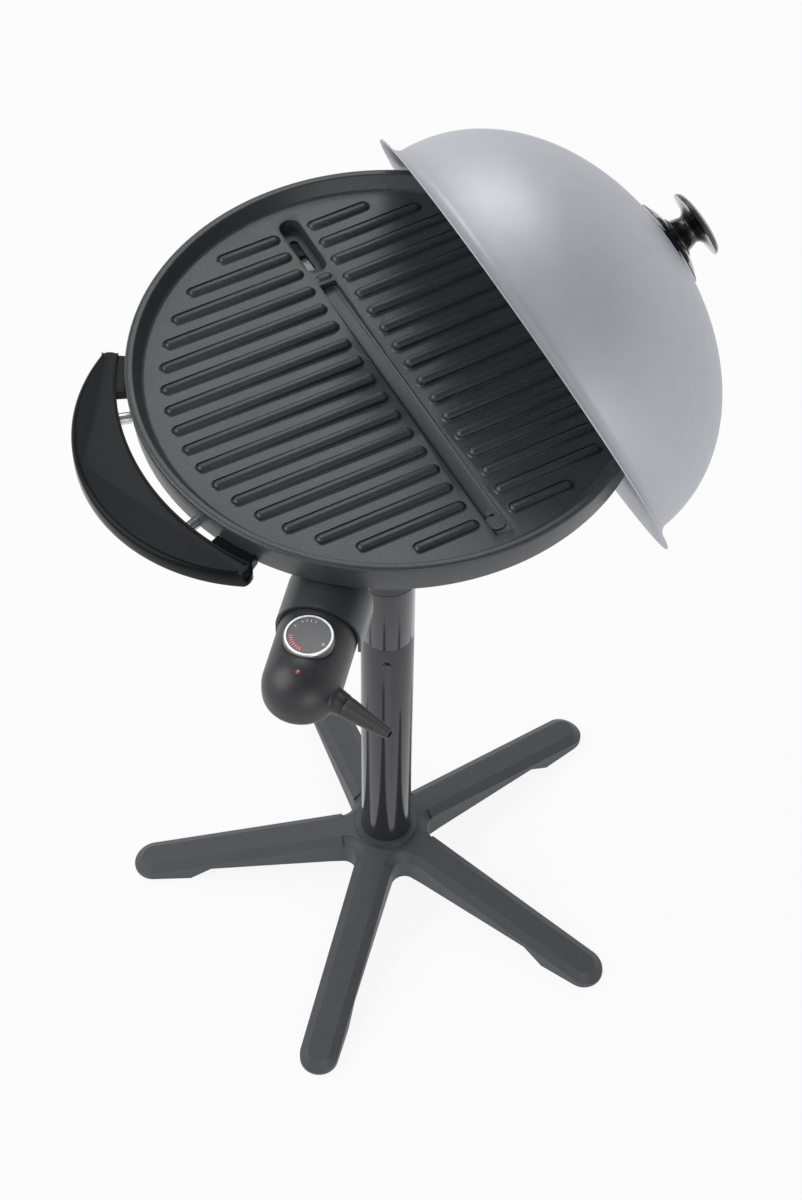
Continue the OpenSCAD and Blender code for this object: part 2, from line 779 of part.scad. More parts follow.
function element_line() = concat(
    spin(flipped(lead_points()), plug_azimuth),
    flat(arc(0, 0, element_outer_r, plug_azimuth - lead_az - 6, turn_left_az, 14)),
    spin(flat(arc(turn_mid_r, 0, turn_r, -20, -180, 8)), turn_left_az),
    flat(arc(0, 0, element_inner_r, turn_left_az + 8, 352 + element_turn_az, 30)),
    spin(flat(arc(turn_mid_r, 0, turn_r, 180, 20, 8)), element_turn_az),
    flat(arc(0, 0, element_outer_r, 360 + element_turn_az, plug_azimuth + lead_az + 6, 24)),
    reversed(spin(lead_points(), plug_azimuth)));

function unit(v) = v / norm(v);
function ring_at(line, i, r, sides) =
    let (last = len(line) - 1,
        run = unit(unit(line[min(i + 1, last)] - line[i == last ? last - 1 : i])
            + unit(line[i == 0 ? 1 : i] - line[max(i - 1, 0)])),
        across = unit(cross(run, abs(run[2]) > 0.9 ? [cos(plug_azimuth), sin(plug_azimuth), 0] : [0, 0, 1])),
        up = cross(across, run))
    [for (k = [0:sides - 1]) let (a = 360 * (k + 0.5) / sides) line[i] + r * (cos(a) * across + sin(a) * up)];

// Round rod swept along a line of points
module rod_along(line, r, sides) {
    rings = [for (i = [0:len(line) - 1]) ring_at(line, i, r, sides)];
    count = len(line);
    polyhedron([for (ring = rings) for (p = ring) p], concat(
        [[for (k = [0:sides - 1]) k]],
        [for (i = [0:count - 2]) for (k = [0:sides - 1]) let (n = (k + 1) % sides)
            [i * sides + k, (i + 1) * sides + k, (i + 1) * sides + n, i * sides + n]],
        [[for (k = [sides - 1:-1:0]) (count - 1) * sides + k]]));
}

// Rings under the pan that the heating element lies against
module element_seat() {
    low = element_z + element_d / 2 * cos(180 / element_sides);
    for (r = [element_outer_r, element_inner_r]) rotate_extrude()
        translate([r - element_seat_w / 2, low]) square([element_seat_w, element_seat_top - low]);
}

module pocket_2d(grow) {
    slot_2d(pocket_front_y - grow, pocket_back_y + grow, pocket_w + 2 * grow);
}

module plate_feet() {
    for (a = foot_azimuths) rotate([0, 0, a]) {
        translate([plate_foot_x, 0, bowl_lip_z + face_gap])
            cylinder(r = plate_foot_r, h = floor_edge_z - floor_t / 2 - bowl_lip_z - face_gap);
        translate([plate_key_x, 0, bowl_lip_z - plate_key_h])
            cylinder(r = plate_key_r, h = floor_edge_z - floor_t / 2 - bowl_lip_z + plate_key_h);
    }
}

module terminal_posts() {
    at_plug() {
        for (side = [-1, 1]) translate([post_x, side * post_pitch / 2, flange_top_z])
            cylinder(r = post_r, h = floor_edge_z - floor_t / 2 - flange_top_z);
        translate([lug_front, -lug_w / 2, pin_z - lug_w / 2])
            cube([lug_back - lug_front, lug_w, floor_edge_z - floor_t - pin_z + lug_w / 2]);
    }
}

module bolt_places() {
    for (side = [0, 180]) for (a = [-handle_bolt_angle, handle_bolt_angle])
        rotate([0, 0, side + a]) translate([0, 0, bolt_z]) rotate([0, 90, 0]) children();
}

module grill_plate() {
    slot_y = (pocket_front_y + pocket_back_y) / 2 + 1;
    color([0.2, 0.21, 0.22]) difference() {
        union() {
            difference() {
                union() {
                    rotate_extrude($fn = 180) plate_body_2d();
                    ribs();
                }
                rotate_extrude($fn = 180) underside_2d();
            }
            element_seat();
            plate_feet();
            terminal_posts();
            channel_walls();
            dam();
        }
        difference() {
            channel_bar(0);
            translate([-channel_w, pocket_front_y - dam_w, 0]) cube([2 * channel_w, dam_w, plate_top]);
        }
        translate([0, 0, pocket_floor_z]) linear_extrude(pocket_drop) pocket_2d(0);
        translate([0, 0, pocket_floor_z - 2 * boss_wall]) linear_extrude(pocket_drop)
            slot_2d(slot_y - slot_l / 2, slot_y + slot_l / 2, slot_w);
        at_plug() {
            for (side = [-1, 1]) translate([post_x, side * post_pitch / 2, flange_top_z - cut_over])
                cylinder(d = post_screw_d, h = 9);
            translate([lug_back - 33, 0, pin_z]) rotate([0, 90, 0])
                cylinder(r = probe_d / 2 + run_gap, h = 40);
        }
        bolt_places() translate([0, 0, pan_edge_r])
            cylinder(d = handle_bolt_d, h = plate_r - pan_edge_r + cut_over);
        element_notch();
    }
}

// Way for the element's inner turn through the channel's thicker wall
module element_notch() {
    half = element_d / 2 + 0.5;
    rotate([0, 0, 255]) rotate_extrude(angle = 30) translate([element_inner_r - half, 0])
        square([2 * half, element_z + element_d / 2 * cos(180 / element_sides) + element_gap]);
}

// Thicker walls under the channel and round the pocket
module channel_walls() {
    intersection() {
        union() {
            channel_bar(boss_wall);
            translate([0, 0, pocket_floor_z - boss_wall]) linear_extrude(pocket_drop) pocket_2d(boss_wall);
        }
        rotate_extrude() polygon([[0, 0], [pan_edge_r, 0], [pan_edge_r, floor_edge_z - 1],
            [0, floor_mid_z - 1]]);
    }
}

// Round bar that closes the channel off from the pocket
module dam() {
    bar_w = dam_w - 5;
    bar_l = channel_w + 2;
    translate([-bar_l / 2, pocket_front_y - dam_w / 2, floor_mid_z - 6]) rotate([90, 0, 90])
        linear_extrude(bar_l) {
            translate([0, 6]) circle(d = bar_w);
            translate([-bar_w / 2, 0]) square([bar_w, 6]);
        }
}

module heating_element() {
    color("dimgray") rod_along(element_line(), element_d / 2, element_sides);
}

module terminal_block() {
    color("ivory") at_plug() difference() {
        translate([block_back, -block_w / 2, block_low_z])
            cube([block_front - block_back, block_w, block_top_z - block_low_z]);
        for (side = [-1, 1]) {
            translate([lead_x, side * pin_pitch / 2, pin_z]) cylinder(d = element_d, h = 40, $fn = 32);
            translate([lead_x + 5, side * pin_pitch / 2, pin_z]) rotate([0, 90, 0]) cylinder(d = pin_d, h = 40);
            translate([post_x, side * post_pitch / 2, block_low_z - cut_over])
                cylinder(d = post_screw_d, h = 60);
            translate([post_x, side * post_pitch / 2, block_low_z - cut_over])
                cylinder(r = post_screw_d, h = 6 + cut_over);
        }
        translate([block_back - cut_over, 0, pin_z]) rotate([0, 90, 0])
            cylinder(r = probe_d / 2 + 0.5, h = 60);
    }
}

module terminal_pins() {
    color("silver") at_plug() for (side = [-1, 1])
        translate([lead_x + 5, side * pin_pitch / 2, pin_z]) rotate([0, 90, 0]) rotate_extrude()
            polygon([[0, 0], [pin_d / 2, 0], [pin_d / 2, pin_end - lead_x - 6],
                [pin_d / 2 - 1, pin_end - lead_x - 5], [0, pin_end - lead_x - 5]]);
}

module terminal_screws() {
    head_z = block_low_z + 6;
    color("silver") at_plug() for (side = [-1, 1]) translate([post_x, side * post_pitch / 2, 0])
        rotate_extrude() polygon([[0, head_z - 3], [post_screw_d - 0.5, head_z - 3],
            [post_screw_d - 0.5, head_z], [post_screw_d / 2, head_z], [post_screw_d / 2, flange_top_z + 7],
            [0, flange_top_z + 7]]);
}

// Arch outline of the shroud or the plug, open or closed below
module arch_2d(r, low) {
    intersection() {
        circle(r = r);
        translate([-r, 0]) square([2 * r, r]);
    }
    translate([-r, -low]) square([2 * r, low]);
}

module socket_shroud() {
    foot = 14;
    window_w = pin_pitch + 14;
    color([0.35, 0.36, 0.37]) at_plug() difference() {
        union() {
            translate([block_front, 0, plug_z]) rotate([90, 0, 90])
                linear_extrude(shroud_mouth - block_front) arch_2d(shroud_r, foot);
            translate([block_back, -block_w / 2 - 2, block_top_z])
                cube([block_front - block_back + 3, block_w + 4, flange_t]);
        }
        translate([block_front + 3, 0, plug_z]) rotate([90, 0, 90])
            linear_extrude(shroud_mouth) arch_2d(shroud_r - shroud_t, foot + cut_over);
        translate([block_front - cut_over, -window_w / 2, pin_z - 6]) cube([6, window_w, 12]);
        for (side = [-1, 1]) {
            translate([lead_x, side * pin_pitch / 2, block_top_z - cut_over])
                cylinder(d = element_d + 1, h = 2 * flange_t);
            translate([post_x, side * post_pitch / 2, block_top_z - cut_over])
                cylinder(d = post_screw_d, h = 2 * flange_t);
        }
    }
}

// Handles

// Crescent with a rounded outer edge, a lip inside and two arms to the plate
module handle_solid() {
    out = handle_bow_r;
    round_r = handle_round;
    difference() {
        union() {
            intersection() {
                translate([handle_centre, 0, handle_low_z]) rotate_extrude($fn = 180) polygon(concat(
                    [[0, 0], [out - 2, 0], [out, 2]],
                    arc(out - round_r, handle_t - round_r, round_r, 0, 90, 5), [[0, handle_t]]));
                handle_ends();
            }
            intersection() {
                difference() {
                    cylinder(r = handle_in_r + lip_w, h = handle_top_z + handle_lip_h);
                    translate([0, 0, -cut_over]) cylinder(r = handle_in_r, h = plate_top);
                }
                handle_ends();
                translate([0, 0, handle_low_z]) cylinder(r = handle_reach, h = plate_top);
            }
        }
        translate([0, 0, handle_low_z - cut_over]) cylinder(r = handle_in_r, h = 2 * handle_t, $fn = 180);
    }
    for (side = [0, 1]) mirror([0, side, 0]) handle_arm();
}

// Wedge with round corners that gives the blunt ends
module handle_ends() {
    a = handle_half_angle;
    corner = 6;
    span = 1.3 * handle_reach;
    linear_extrude(plate_top) difference() {
        polygon([[0, 0], span * polar(1, -a), [span, -span * tan(a)], [span, span * tan(a)],
            span * polar(1, a)]);
        for (side = [0, 1]) mirror([0, side, 0]) rotate([0, 0, a])
            translate([handle_in_r + end_width() - corner, -corner]) difference() {
                square([span, corner + 1]);
                circle(r = corner);
            }
    }
}

// Radial width of a handle at its blunt ends
function end_width() =
    handle_centre * cos(handle_half_angle)
    + sqrt(pow(handle_bow_r, 2) - pow(handle_centre * sin(handle_half_angle), 2)) - handle_in_r;

module handle_arm() {
    t = handle_t - 4;
    difference() {
        rotate([0, 0, arm_from]) rotate_extrude(angle = arm_to - arm_from)
            translate([skirt_r_low() - 1, handle_low_z + 2]) square([handle_in_r - skirt_r_low() + 1, t]);
        translate([0, 0, skirt_low_z])
            cylinder(r1 = wall_r(skirt_low_z) + arm_gap, r2 = plate_r + arm_gap, h = plate_wall_h);
        cylinder(r = wall_r(skirt_low_z) + arm_gap, h = skirt_low_z);
    }
}

function skirt_r_low() = wall_r(skirt_low_z);

module handle_with_holes(side) {
    difference() {
        rotate([0, 0, side]) handle_solid();
        bolt_places() cylinder(d = handle_bolt_d, h = handle_in_r + bolt_bite);
    }
}

module handle_left() {
    color([0.05, 0.05, 0.06]) handle_with_holes(180);
}

module handle_right() {
    color([0.05, 0.05, 0.06]) handle_with_holes(0);
}

module handle_spacers() {
    near = wall_r(bolt_z + spacer_d / 2);
    far = sqrt(pow(handle_in_r, 2) - pow(spacer_d / 2, 2)) - 0.02;
    color("silver") bolt_places() translate([0, 0, near]) difference() {
        cylinder(d = spacer_d, h = far - near);
        translate([0, 0, -cut_over]) cylinder(d = handle_bolt_d, h = far);
    }
}

module handle_bolts() {
    head = wall_r(bolt_z) - skirt_t - 1;
    color("silver") bolt_places() rotate_extrude() polygon([[0, head - bolt_head_t],
        [bolt_head - 1, head - bolt_head_t], [bolt_head, head - bolt_head_t + 1], [bolt_head, head],
        [handle_bolt_d / 2, head], [handle_bolt_d / 2, handle_in_r + bolt_bite],
        [0, handle_in_r + bolt_bite]]);
}

// Thermostat plug

// Outside of the plug's two shells, or their inside when less is the wall
module plug_form(less) {
    r = plug_r - less;
    low = plug_low_h - less;
    back = plug_back + less;
    translate([0, 0, plug_z]) {
        translate([back, 0, 0]) rotate([90, 0, 90]) linear_extrude(plug_end_centre - back)
            plug_section_2d(r, low);
        translate([plug_end_centre, 0, 0]) rotate([0, 0, -90]) rotate_extrude(angle = 180) intersection() {
            plug_section_2d(r, low);
            translate([0, -r]) square([r, 2 * r]);
        }
    }
}

module plug_section_2d(r, low) {
    corner = 9;
    intersection() {
        circle(r = r);
        translate([-r, 0]) square([2 * r, r]);
    }
    translate([-r, -low + corner]) square([2 * r, low - corner]);
    translate([-r + corner, -low]) square([2 * (r - corner), corner]);
    for (side = [-1, 1]) translate([side * (r - corner), -low + corner]) circle(r = corner, $fn = 48);
}

module at_spout() {
    translate([spout_x, spout_y, plug_z]) rotate([0, 0, spout_turn]) rotate([0, 90, 0]) children();
}

module plug_outside() {
    plug_form(0);
    at_spout() cylinder(r1 = spout_root_r, r2 = spout_end_r, h = spout_l);
}

module plug_inside() {
    plug_form(plug_wall);
    at_spout() cylinder(r = relief_neck_r, h = spout_l + cut_over);
}

module dial_pocket() {
    translate([dial_centre, 0, dial_seat_z]) cylinder(r = dial_d / 2 + dial_pocket_gap, h = plug_r);
}

module shell_screw_places() {
    for (p = shell_screws) translate([p[0], p[1], 0]) children();
}

module plug_upper_shell() {
    big = 200;
    color([0.12, 0.12, 0.13]) at_plug() difference() {
        union() {
            difference() {
                plug_outside();
                plug_inside();
            }
            intersection() {
                plug_outside();
                union() {
                    shell_screw_places() translate([0, 0, plug_seam_z]) cylinder(r = shell_boss_r, h = plug_r);
                    translate([dial_centre, 0, dial_seat_z - plug_wall])
                        cylinder(r = dial_d / 2 + dial_pocket_gap + plug_wall, h = plug_r);
                    translate([lamp_x, 0, lamp_z - 8]) cylinder(r = lamp_d / 2 + 1.5, h = 8);
                }
            }
        }
        translate([0, -big / 2, plug_seam_z - big]) cube([2 * big, big, big]);
        dial_pocket();
        translate([dial_centre, 0, plug_z]) cylinder(d = spindle_d + 0.6, h = plug_r);
        translate([lamp_x, 0, plug_z + 8]) cylinder(d = lamp_d, h = plug_r);
        shell_screw_places() translate([0, 0, plug_z - 1]) cylinder(d = shell_screw_d, h = shell_screw_rise + 1);
        for (y = [-pin_pitch / 2, pin_pitch / 2])
            translate([plug_back - cut_over, y, pin_z]) rotate([0, 90, 0]) cylinder(d = sleeve_d, h = 8);
        translate([plug_back - cut_over, 0, pin_z]) rotate([0, 90, 0]) cylinder(d = probe_d, h = 8);
    }
}

module plug_lower_shell() {
    big = 200;
    color([0.12, 0.12, 0.13]) at_plug() difference() {
        union() {
            difference() {
                plug_outside();
                plug_inside();
            }
            intersection() {
                plug_outside();
                union() {
                    shell_screw_places() translate([0, 0, plug_z - plug_r]) cylinder(r = shell_boss_r, h = plug_r);
                    for (x = [stat_back + 4, stat_front - 8]) translate([x, -stat_w / 2 + 4, plug_z - plug_r])
                        cube([3, stat_w - 8, plug_r]);
                }
            }
        }
        translate([0, -big / 2, plug_seam_z]) cube([2 * big, big, big]);
        shell_screw_places() translate([0, 0, plug_z - plug_r]) cylinder(d = shell_screw_d, h = plug_r + 1);
        shell_screw_places() translate([0, 0, plug_z - plug_r])
            cylinder(r = shell_head_r, h = plug_r - plug_low_h + 3);
    }
}

module plug_screws() {
    head_z = plug_z - plug_low_h + 3;
    color("silver") at_plug() shell_screw_places() rotate_extrude() polygon([[0, head_z - 2],
        [shell_head_r, head_z - 2], [shell_head_r, head_z], [shell_screw_d / 2, head_z],
        [shell_screw_d / 2, plug_z + shell_screw_rise], [0, plug_z + shell_screw_rise]]);
}

// Bimetal switch block that carries the probe and the contacts
module thermostat() {
    color("ivory") at_plug() difference() {
        union() {
            translate([stat_back, -stat_w / 2 + 4, plug_z]) cube([stat_front - stat_back, stat_w - 8,
                stat_top_z - plug_z]);
        }
        for (y = [-pin_pitch / 2, pin_pitch / 2])
            translate([stat_back - cut_over, y, pin_z]) rotate([0, 90, 0])
                cylinder(d = sleeve_d, h = sleeve_end - stat_back + cut_over);
        translate([stat_back - cut_over, 0, pin_z]) rotate([0, 90, 0]) cylinder(d = probe_d, h = 11);
        translate([dial_centre, 0, stat_top_z - 9]) cylinder(r = spindle_d / 2 + run_gap, h = 20);
    }
}

module contact_sleeves() {
    color("silver") at_plug() for (y = [-pin_pitch / 2, pin_pitch / 2])
        translate([plug_back, y, pin_z]) rotate([0, 90, 0]) difference() {
            cylinder(d = sleeve_d, h = sleeve_end - plug_back);
            translate([0, 0, -cut_over]) cylinder(r = pin_d / 2 + run_gap, h = pin_end - plug_back + 6);
        }
}

module probe_rod() {
    tip = plug_back - probe_l;
    color("silver") at_plug() translate([tip, 0, pin_z]) rotate([0, 90, 0]) rotate_extrude()
        polygon([[0, 0], [probe_d / 2 - 1.5, 0], [probe_d / 2, 1.5], [probe_d / 2, stat_back + 10 - tip],
            [0, stat_back + 10 - tip]]);
}

module pilot_lamp() {
    color("firebrick") at_plug() translate([lamp_x, 0, 0]) rotate_extrude() polygon(concat(
        [[0, lamp_z - 8], [lamp_d / 2, lamp_z - 8]],
        arc(lamp_d / 2 - 1, lamp_z - 0.6, 1, 0, 90, 4), [[0, lamp_z + 0.4]]));
}

module strain_relief() {
    neck_z = spout_l - relief_neck_l;
    ring_h = 3;
    color([0.08, 0.08, 0.09]) at_plug() at_spout() difference() {
        rotate_extrude() polygon([[relief_bore_r, neck_z], [relief_neck_r, neck_z],
            [relief_neck_r, spout_l], [relief_root_r, spout_l], [relief_root_r, spout_l + ring_h],
            [relief_tip_r, spout_l + relief_l], [relief_bore_r, spout_l + relief_l]]);
    }
}

module dial() {
    r = dial_d / 2;
    top = dial_low_z + dial_h;
    color("gray") at_plug() translate([dial_centre, 0, 0]) difference() {
        rotate_extrude() polygon([[0, dial_low_z], [r - 1, dial_low_z], [r - 1, dial_low_z + 1.5],
            [r - 2.5, dial_low_z + 2], [r - 1.5, top - 2.5], [r, top - 2.2], [r, top - 0.8],
            [r - 0.8, top], [r - 2, top], [r - 2.6, top - 0.5], [0, top - 0.5]]);
        translate([0, 0, dial_low_z - cut_over]) cylinder(d = spindle_d, h = 6 + cut_over);
    }
}

module dial_spindle() {
    color("silver") at_plug() translate([dial_centre, 0, stat_top_z - 8])
        cylinder(d = spindle_d, h = dial_low_z + 6 - stat_top_z + 8);
}

// Lid

function dome_height(x, r, h) = h * pow(1 - pow(x / r, lid_power), 1 / lid_power);

// Points of the dome's curve from its foot to the flat at its middle
function dome_curve(r, h, steps) =
    let (flat_angle = acos(pow(flat_r / r, lid_power / 2)))
    [for (i = [0:steps]) let (a = flat_angle * i / steps)
        [r * pow(cos(a), 2 / lid_power), h * pow(sin(a), 2 / lid_power)]];

// Dome curve above the flare, then the flare itself from the wall out to the rim
function lid_curve(r, h, rim, foot, steps) =
    let (wall = r * pow(1 - pow(flare_h / h, lid_power), 1 / lid_power))
    concat(
        [for (i = [0:6]) let (a = 15 * i)
            [rim - (rim - wall) * sin(a), foot + (flare_h - foot) * (1 - cos(a))]],
        [for (p = dome_curve(r, h, steps)) if (p[1] > flare_h + 1) p]);

function reversed(list) = [for (i = [len(list) - 1:-1:0]) list[i]];

module lid_dome() {
    steps = 26;
    outer = lid_curve(dome_r, dome_h, lid_rim_r, lid_t, steps);
    inner = lid_curve(dome_r - lid_t, dome_h - lid_t, lid_rim_r, 0, steps);
    color("silver") at_lid() difference() {
        rotate_extrude($fn = 180) polygon(concat(inner, [[0, inner[len(inner) - 1][1]]],
            [[0, outer[len(outer) - 1][1]]], reversed(outer)));
        translate([0, 0, dome_h - 20]) cylinder(d = lid_screw_d, h = 40);
    }
}

function flat_z() = dome_curve(dome_r, dome_h, 4)[4][1];
function flat_in_z() = dome_curve(dome_r - lid_t, dome_h - lid_t, 4)[4][1];

module guard_disc() {
    r = guard_d / 2;
    steps = 6;
    under = [for (i = [0:steps]) let (x = flat_r + (r - flat_r) * i / steps)
        [x, dome_height(x, dome_r, dome_h) + guard_gap]];
    edge_z = under[steps][1];
    top_z = flat_z() + guard_h;
    over = [for (i = [0:steps]) let (x = r - (r - knob_foot_r) * i / steps)
        [x, edge_z + guard_edge + (top_z - edge_z - guard_edge) * (1 - pow((x - knob_foot_r) / (r - knob_foot_r), 1.6))]];
    color([0.06, 0.06, 0.07]) at_lid() difference() {
        rotate_extrude() polygon(concat([[0, flat_z()], [guard_boss_r, flat_z()],
            [guard_boss_r + 1, flat_z() + guard_gap]], under, over, [[0, top_z]]));
        translate([0, 0, flat_z() - cut_over]) cylinder(d = lid_screw_d, h = 40);
    }
}

// Foot, waisted neck and trumpet-shaped cap
module lid_knob() {
    low = flat_z() + guard_h;
    rim_z = low + knob_h - guard_h;
    neck_z = low + knob_foot_h;
    waist_z = neck_z + (rim_z - neck_z) * 0.5;
    r = knob_d / 2;
    steps = 7;
    flare = [for (i = [0:steps]) let (a = 90 * i / steps)
        [knob_waist_r + (r - knob_waist_r) * (1 - cos(a)), waist_z + (rim_z - knob_rim - waist_z) * sin(a)]];
    crown = [for (i = [0:steps]) let (a = 90 * i / steps)
        [(r - 0.6) * cos(a), rim_z + knob_crown * sin(a)]];
    color([0.05, 0.05, 0.06]) at_lid() difference() {
        rotate_extrude() polygon(concat([[0, low], [knob_foot_r, low], [knob_foot_r, low + knob_foot_h - 1],
            [knob_neck_r, neck_z]], flare, [[r, rim_z]], crown));
        translate([0, 0, low - cut_over]) cylinder(d = lid_screw_d, h = lid_screw_bite + cut_over);
    }
}

module knob_screw() {
    head_z = flat_in_z() - hook_t - washer_lid_t - 2 * washer_gap;
    top_z = flat_z() + guard_h + lid_screw_bite;
    color("silver") at_lid() rotate_extrude() polygon([[0, head_z - lid_screw_head_h],
        [lid_screw_head_r - 1, head_z - lid_screw_head_h], [lid_screw_head_r, head_z - lid_screw_head_h + 1],
        [lid_screw_head_r, head_z], [lid_screw_d / 2, head_z], [lid_screw_d / 2, top_z], [0, top_z]]);
}

module knob_washer() {
    z = flat_in_z() - hook_t - washer_lid_t - washer_gap;
    color("silver") at_lid() translate([0, 0, z]) difference() {
        cylinder(r = washer_lid_r, h = washer_lid_t);
        translate([0, 0, -cut_over]) cylinder(d = lid_screw_d, h = washer_lid_t + 2 * cut_over);
    }
}

// Hook path in the plane through both axes: x outward, y up
lid_axis = [cos(lid_rise), sin(lid_rise)];
lid_down = [sin(lid_rise), -cos(lid_rise)];
pad_half = 12;
pad_bend = 4;
hook_mid_h = flat_in_z() - hook_t / 2;
bend_in_r = hook_bend + hook_t / 2;
pad_start = [lid_out, lid_centre_z] + lid_axis * hook_mid_h - lid_down * pad_half;
bend_start = [lid_out, lid_centre_z] + lid_axis * hook_mid_h + lid_down * (pad_half - pad_bend);
bend_centre = bend_start - lid_axis * bend_in_r;
rest_point = [handle_in_r, handle_top_z + handle_lip_h + face_gap];
rest_run = rest_point - bend_centre;
rest_dir = atan2(rest_run[1], rest_run[0]);
touch_dir = rest_dir + 360 + acos((bend_in_r + hook_t / 2) / norm(rest_run));
arm_dir = touch_dir - 90;
arm_start = bend_centre + polar(bend_in_r, touch_dir);
lip_bend_r = hook_lip_bend + hook_t / 2;
lip_x = handle_in_r - hook_lip_gap - hook_t / 2;
lip_centre_x = lip_x + lip_bend_r;
arm_run = (arm_start[0] - lip_centre_x + lip_bend_r * sin(arm_dir) * -1) / -cos(arm_dir);
arm_end = arm_start + polar(arm_run, arm_dir);
lip_centre = arm_end + polar(lip_bend_r, arm_dir + 90);

// Both faces of the strip: side is +1 or -1 half of its thickness away from the middle line
function hook_side(side) =
    let (t = side * hook_t / 2)
    concat(
        [pad_start + lid_axis * t],
        [for (i = [0:8]) let (a = lid_rise + (touch_dir - 360 - lid_rise) * i / 8)
            bend_centre + polar(bend_in_r + t, a)],
        [for (i = [0:6]) let (a = arm_dir - 90 + (270 - arm_dir) * i / 6)
            lip_centre + polar(lip_bend_r - t, a)],
        [[lip_x + t, lip_centre[1] - hook_drop]]);

module lid_hook() {
    clear = 0.4;
    color("silver") difference() {
        translate([0, hook_w / 2, 0]) rotate([90, 0, 0]) linear_extrude(hook_w) difference() {
            polygon(concat(hook_side(1), reversed(hook_side(-1))));
            translate(rest_point) rotate([0, 0, hook_lift]) translate([-60, -60 - clear]) square([55, 60]);
        }
        at_lid() translate([0, 0, flat_in_z() - hook_t - cut_over]) cylinder(d = lid_screw_d, h = 2 * hook_t);
    }
}

base_star();
foot_pads();
column_plug();
base_bolt();
base_washer();
column_lower();
column_upper();
trim_ring();
head_socket();
support_bowl();
bowl_screws();
tray_rails();
rail_rivets();
snap_button();
button_leaf();
grill_plate();
heating_element();
terminal_block();
terminal_pins();
terminal_screws();
socket_shroud();
handle_left();
handle_right();
handle_spacers();
handle_bolts();
drip_tray();
plug_upper_shell();
plug_lower_shell();
plug_screws();
thermostat();
contact_sleeves();
probe_rod();
pilot_lamp();
strain_relief();
dial();
dial_spindle();
lid_dome();
guard_disc();
lid_knob();
knob_screw();
knob_washer();
lid_hook();
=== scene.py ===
# %% [markdown]
# # A round indoor grill on a five-leg pedestal
#
# The real thing is a cast grill plate with a non-stick coating, carried by a gloss painted
# column on a moulded star foot. Two crescent handles, a plug-in thermostat and a domed lid
# hung on the far handle complete it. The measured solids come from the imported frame; this
# lesson dresses them. Each step says what the piece is, how it could be made, and why this
# way was chosen.

# %% Load the fixed frame
import math

import bpy
from mathutils import Matrix, Vector


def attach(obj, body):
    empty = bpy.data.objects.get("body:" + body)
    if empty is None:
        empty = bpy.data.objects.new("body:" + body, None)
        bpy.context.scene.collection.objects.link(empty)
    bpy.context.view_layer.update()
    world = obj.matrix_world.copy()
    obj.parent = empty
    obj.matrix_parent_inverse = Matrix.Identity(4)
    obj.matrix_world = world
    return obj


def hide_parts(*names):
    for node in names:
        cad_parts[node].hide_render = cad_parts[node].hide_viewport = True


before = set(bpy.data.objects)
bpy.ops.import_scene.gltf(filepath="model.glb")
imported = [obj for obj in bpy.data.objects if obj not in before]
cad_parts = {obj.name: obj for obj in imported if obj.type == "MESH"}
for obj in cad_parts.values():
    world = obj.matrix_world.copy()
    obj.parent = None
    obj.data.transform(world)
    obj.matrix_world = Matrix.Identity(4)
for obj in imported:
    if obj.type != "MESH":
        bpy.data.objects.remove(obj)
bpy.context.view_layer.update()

# %% [markdown]
# ## The camera
#
# The photograph was taken from above with a long lens. Its place was worked out from the
# ellipse of the plate, the five feet and the column, so the camera is given as three
# directions and a point. A long lens keeps the grill's upright lines almost parallel.

# %% Camera at the photograph's viewing angle
side = Vector((0.8746, -0.4848, 0.0))
rise = Vector((0.3910, 0.7053, 0.5914))
roll = 0.0147
right = (side + roll * rise).normalized()
up = (rise - roll * side).normalized()
lens_data = bpy.data.cameras.new("photo_camera")
lens_data.lens = 83.58
lens_data.sensor_width = 36.0
camera = bpy.data.objects.new("photo_camera", lens_data)
bpy.context.scene.collection.objects.link(camera)
turn = Matrix((right, up, right.cross(up))).transposed().to_4x4()
camera.matrix_world = Matrix.Translation((-0.7298, -1.3417, 2.5437)) @ turn
bpy.context.scene.camera = camera
bpy.context.scene.view_settings.view_transform = "Standard"
print("camera stands", round(camera.location.length, 2), "m from the foot")

# %% [markdown]
# ## Helpers
#
# Most pieces are made with operators, which act on what is chosen and in the mode that is
# on. A few helpers choose an object, enter or leave its edit mode and pick its edges by a
# test, so that each later step says only what it makes.

# %% Helpers for operators
def deselect():
    if bpy.context.object and bpy.context.object.mode != "OBJECT":
        bpy.ops.object.mode_set(mode="OBJECT")
    bpy.ops.object.select_all(action="DESELECT")


def choose(obj):
    deselect()
    obj.select_set(True)
    bpy.context.view_layer.objects.active = obj


def edit(obj, select="SELECT"):
    choose(obj)
    bpy.ops.object.mode_set(mode="EDIT")
    bpy.ops.mesh.select_mode(type="VERT")
    bpy.ops.mesh.select_all(action=select)


def leave():
    bpy.ops.object.mode_set(mode="OBJECT")


def pick_edges(obj, wanted):
    """Enters edit mode with just the edges selected whose two ends pass a test."""
    edit(obj, "DESELECT")
    bpy.ops.mesh.select_mode(type="EDGE")
    leave()
    for e in obj.data.edges:
        e.select = wanted(*[obj.data.vertices[i].co for i in e.vertices])
    bpy.ops.object.mode_set(mode="EDIT")


def made(name):
    obj = bpy.context.object
    obj.name = name
    obj.data.name = name
    return obj


# %% Helpers for node trees
def link(tree, a, out, b, into):
    tree.links.new(a.outputs[out], b.inputs[into])


def math_node(tree, operation, a=None, b=None):
    node = tree.nodes.new("ShaderNodeMath")
    node.operation = operation
    for i, value in enumerate((a, b)):
        if value is not None:
            node.inputs[i].default_value = value
    return node


# %% [markdown]
# ## Floor, sky and lamps
#
# The grill stands on white. A pure white floor could be had with strong lamps, but they
# would wash out the coating. So the floor shows white to the camera and to reflections, and
# keeps a trace of the shadow, while the lamps stay soft.

